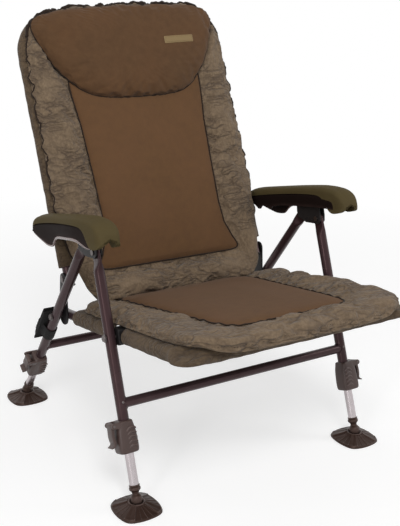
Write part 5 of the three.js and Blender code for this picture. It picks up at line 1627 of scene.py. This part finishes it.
# ---- carrying strap: a long webbing loop folded up behind the left rear leg, held by a band
strap = {"half": 18.0, "length": 104.0, "layers": 3, "layerStep": 5.3, "outset": 4.6, "first": 12.0,
         "thinHalf": 0.72, "ripple": 0.16, "bandLeg": 12.4, "bandOut": 28.6, "bandUnder": 11}
strapDrop = -localMiddle(places["rearLeg"], "transport_strap")[1]
shape = emptyShape()
for k in range(strap["layers"]):
    y0 = strap["first"] + k * strap["layerStep"]
    half = strap["length"] / 2 - 2 - 3.5 * ((k * 2) % 3)
    line = []
    for a in np.linspace(0, 2 * math.pi, 44, endpoint=False):
        squarish = math.copysign(abs(math.cos(a)) ** 0.25, math.cos(a))
        y = y0 + 2.3 + 1.6 * math.sin(a) + 0.25 * math.sin(3 * a + k)
        line.append((y, -strapDrop + half * squarish + 1.5 * (k - 1)))
    outerLine, innerLine = [], []
    for n, (y, z) in enumerate(line):
        before, after = line[n - 1], line[(n + 1) % len(line)]
        ty, tz = after[0] - before[0], after[1] - before[1]
        size = math.hypot(ty, tz) or 1
        ny, nz = tz / size, -ty / size
        outerLine.append((y + strap["thinHalf"] * ny, z + strap["thinHalf"] * nz))
        innerLine.append((y - strap["thinHalf"] * ny, z - strap["thinHalf"] * nz))
    width = strap["half"] - 0.8 * k
    xs = np.linspace(-width, width, 13)
    shiftX = 1.6 * ((k * 7) % 3 - 1)
    section = [[(x - strap["outset"] + shiftX, y + strap["ripple"] * math.cos(x * 2.6), z)
                for y, z in outerLine] for x in xs]
    back = [[(x - strap["outset"] + shiftX, y, z) for y, z in innerLine] for x in reversed(xs)]
    addRings(shape, section + back + [section[0]], capFirst=False, capLast=False)
strapPiece = makePiece("carryStrap", shifted(shape, -legs["x"]), places["rearLeg"], [finish["webbing"]],
                       sharp=50)
bandLine = []
for a in 2 * np.pi * np.arange(60) / 60:  # round the leg below, squarish over the strap above
    if math.sin(a) > 0:
        wide = strap["bandLeg"] + 8.0 * min(1, math.sin(a) * 1.8)
        x = -4.0 * math.sin(a) + math.copysign(abs(math.cos(a)) ** 0.35, math.cos(a)) * wide
        bandLine.append((x, strap["bandOut"] * abs(math.sin(a)) ** 0.6))
    else:
        bandLine.append((strap["bandLeg"] * math.cos(a), strap["bandLeg"] * math.sin(a)))
bandRows = ((0.0, 17), (1.3, 17), (1.5, 16.2), (1.5, -16.2), (1.3, -17), (0.0, -17),
            (0.0, 17))  # growth, height
bandRings = [[(x * (1 + grow / 20), y * (1 + grow / 24), -strapDrop - strap["bandUnder"] + z)
              for x, y in bandLine]
             for grow, z in bandRows]
band = addRings(emptyShape(), bandRings, capFirst=False, capLast=False)
bandPiece = makePiece("strapBand", shifted(band, -legs["x"]), places["rearLeg"], [finish["webbing"]],
                      sharp=50)
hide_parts("transport_strap")
for piece in (strapPiece, bandPiece):
    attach(piece, "rear_leg_frame")
print("strap made")

# ---- stage, lamps and camera
stage = {"half": 30, "shade": 0.6, "glow": 0.52, "farUnseen": 0.5, "fadeFrom": 0.7, "fadeTo": 2.4,
         "ambient": 0.36}
white = (1, 1, 1, 1)


# 1 for a ray from the camera, off gloss or through glass, 0 for one that only lights
def seenBy(tree):
    path = tree.nodes.new("ShaderNodeLightPath")
    shiny = mathNode(tree, "MAXIMUM", path.outputs["Is Glossy Ray"], path.outputs["Is Transmission Ray"])
    return mathNode(tree, "MAXIMUM", path.outputs["Is Camera Ray"], shiny)


# full strength where it is seen, a lower one where it only lights
def seenStrength(tree, seen, unseen):
    return mathNode(tree, "ADD", mathNode(tree, "MULTIPLY", seen, 1 - unseen), unseen)


floorMesh = bpy.data.meshes.new("floor")
corners = [(x * stage["half"], y * stage["half"], 0) for x, y in ((-1, -1), (1, -1), (1, 1), (-1, 1))]
floorMesh.from_pydata(corners, [], [(0, 1, 2, 3)])
floor = bpy.data.objects.new("floor", floorMesh)
scene.collection.objects.link(floor)
material = bpy.data.materials.new("paleFloor")
material.use_nodes = True
tree = material.node_tree
tree.nodes.clear()
output = tree.nodes.new("ShaderNodeOutputMaterial")
diffuse = addNode(tree, "ShaderNodeBsdfDiffuse", Color=(*[stage["shade"]] * 3, 1))
glow = addNode(tree, "ShaderNodeEmission", Color=white)
far = addNode(tree, "ShaderNodeEmission", Color=white)  # the floor runs out into the white backdrop
seen = seenBy(tree)
tree.links.new(mathNode(tree, "MULTIPLY", seen, stage["glow"]), glow.inputs["Strength"])
tree.links.new(seenStrength(tree, seen, stage["farUnseen"]), far.inputs["Strength"])
both = tree.nodes.new("ShaderNodeAddShader")
coords = tree.nodes.new("ShaderNodeTexCoord")
away = addNode(tree, "ShaderNodeVectorMath", operation="LENGTH")
reach = tree.nodes.new("ShaderNodeMapRange")
for label, value in (("From Min", stage["fadeFrom"]), ("From Max", stage["fadeTo"])):
    reach.inputs[label].default_value = value
mixed = tree.nodes.new("ShaderNodeMixShader")
for first, second in (
    (diffuse.outputs[0], both.inputs[0]),
    (glow.outputs[0], both.inputs[1]),
    (coords.outputs["Object"], away.inputs[0]),
    (away.outputs["Value"], reach.inputs["Value"]),
    (reach.outputs[0], mixed.inputs[0]),
    (both.outputs[0], mixed.inputs[1]),
    (far.outputs[0], mixed.inputs[2]),
    (mixed.outputs[0], output.inputs["Surface"]),
):
    tree.links.new(first, second)
floorMesh.materials.append(material)

world = bpy.data.worlds.new("studio")
scene.world = world
world.use_nodes = True
tree = world.node_tree
background = tree.nodes["Background"]
background.inputs["Color"].default_value = white
tree.links.new(seenStrength(tree, seenBy(tree), stage["ambient"]), background.inputs["Strength"])


def softbox(name, where, target, size, power):
    data = bpy.data.lights.new(name, "AREA")
    data.shape, data.size, data.size_y, data.energy = "RECTANGLE", size[0], size[1], power
    lamp = bpy.data.objects.new(name, data)
    scene.collection.objects.link(lamp)
    lamp.location = where
    lamp.rotation_euler = (Vector(target) - Vector(where)).to_track_quat("-Z", "Y").to_euler()


softbox("keySoftbox", (-1.2, -2.6, 3.2), (0, 0, 0.45), (1.3, 1.3), 66)
softbox("sideSoftbox", (2.8, -1.4, 1.9), (0, 0, 0.5), (1.0, 1.8), 25)
softbox("rearSoftbox", (-0.6, 3.0, 2.6), (0, 0, 0.5), (2.2, 1.4), 14)
softbox("leftSoftbox", (-2.8, -1.9, 1.3), (0, 0, 0.5), (0.35, 1.8), 22)

camera = {"azimuth": -31.6716, "elevation": 15.9527, "roll": 0.901, "distance": 2030.61, "focal": 872.547,
          "midX": 180.0, "midY": 241.0, "target": (26.79, 130.76, 411.39), "wide": 400, "high": 526}
az, el, rollTurn = (math.radians(camera[k]) for k in ("azimuth", "elevation", "roll"))
back = Vector((math.sin(az) * math.cos(el), -math.cos(az) * math.cos(el), math.sin(el)))
right = (-back).cross(Vector((0, 0, 1))).normalized()
up = right.cross(-back)
turnedRight = math.cos(rollTurn) * right + math.sin(rollTurn) * up
turnedUp = -math.sin(rollTurn) * right + math.cos(rollTurn) * up
cameraData = bpy.data.cameras.new("photoCamera")
cameraData.sensor_fit, cameraData.sensor_width = "AUTO", 36.0
cameraData.lens = camera["focal"] / camera["high"] * 36.0
cameraData.shift_x = (camera["wide"] / 2 - camera["midX"]) / camera["high"]
cameraData.shift_y = -(camera["high"] / 2 - camera["midY"]) / camera["high"]
eye = bpy.data.objects.new("photoCamera", cameraData)
scene.collection.objects.link(eye)
turn = Matrix((turnedRight, turnedUp, back)).transposed().to_4x4()
eye.matrix_world = Matrix.Translation((Vector(camera["target"]) + back * camera["distance"]) * mm) @ turn
scene.camera = eye
scene.view_settings.view_transform = "Standard"
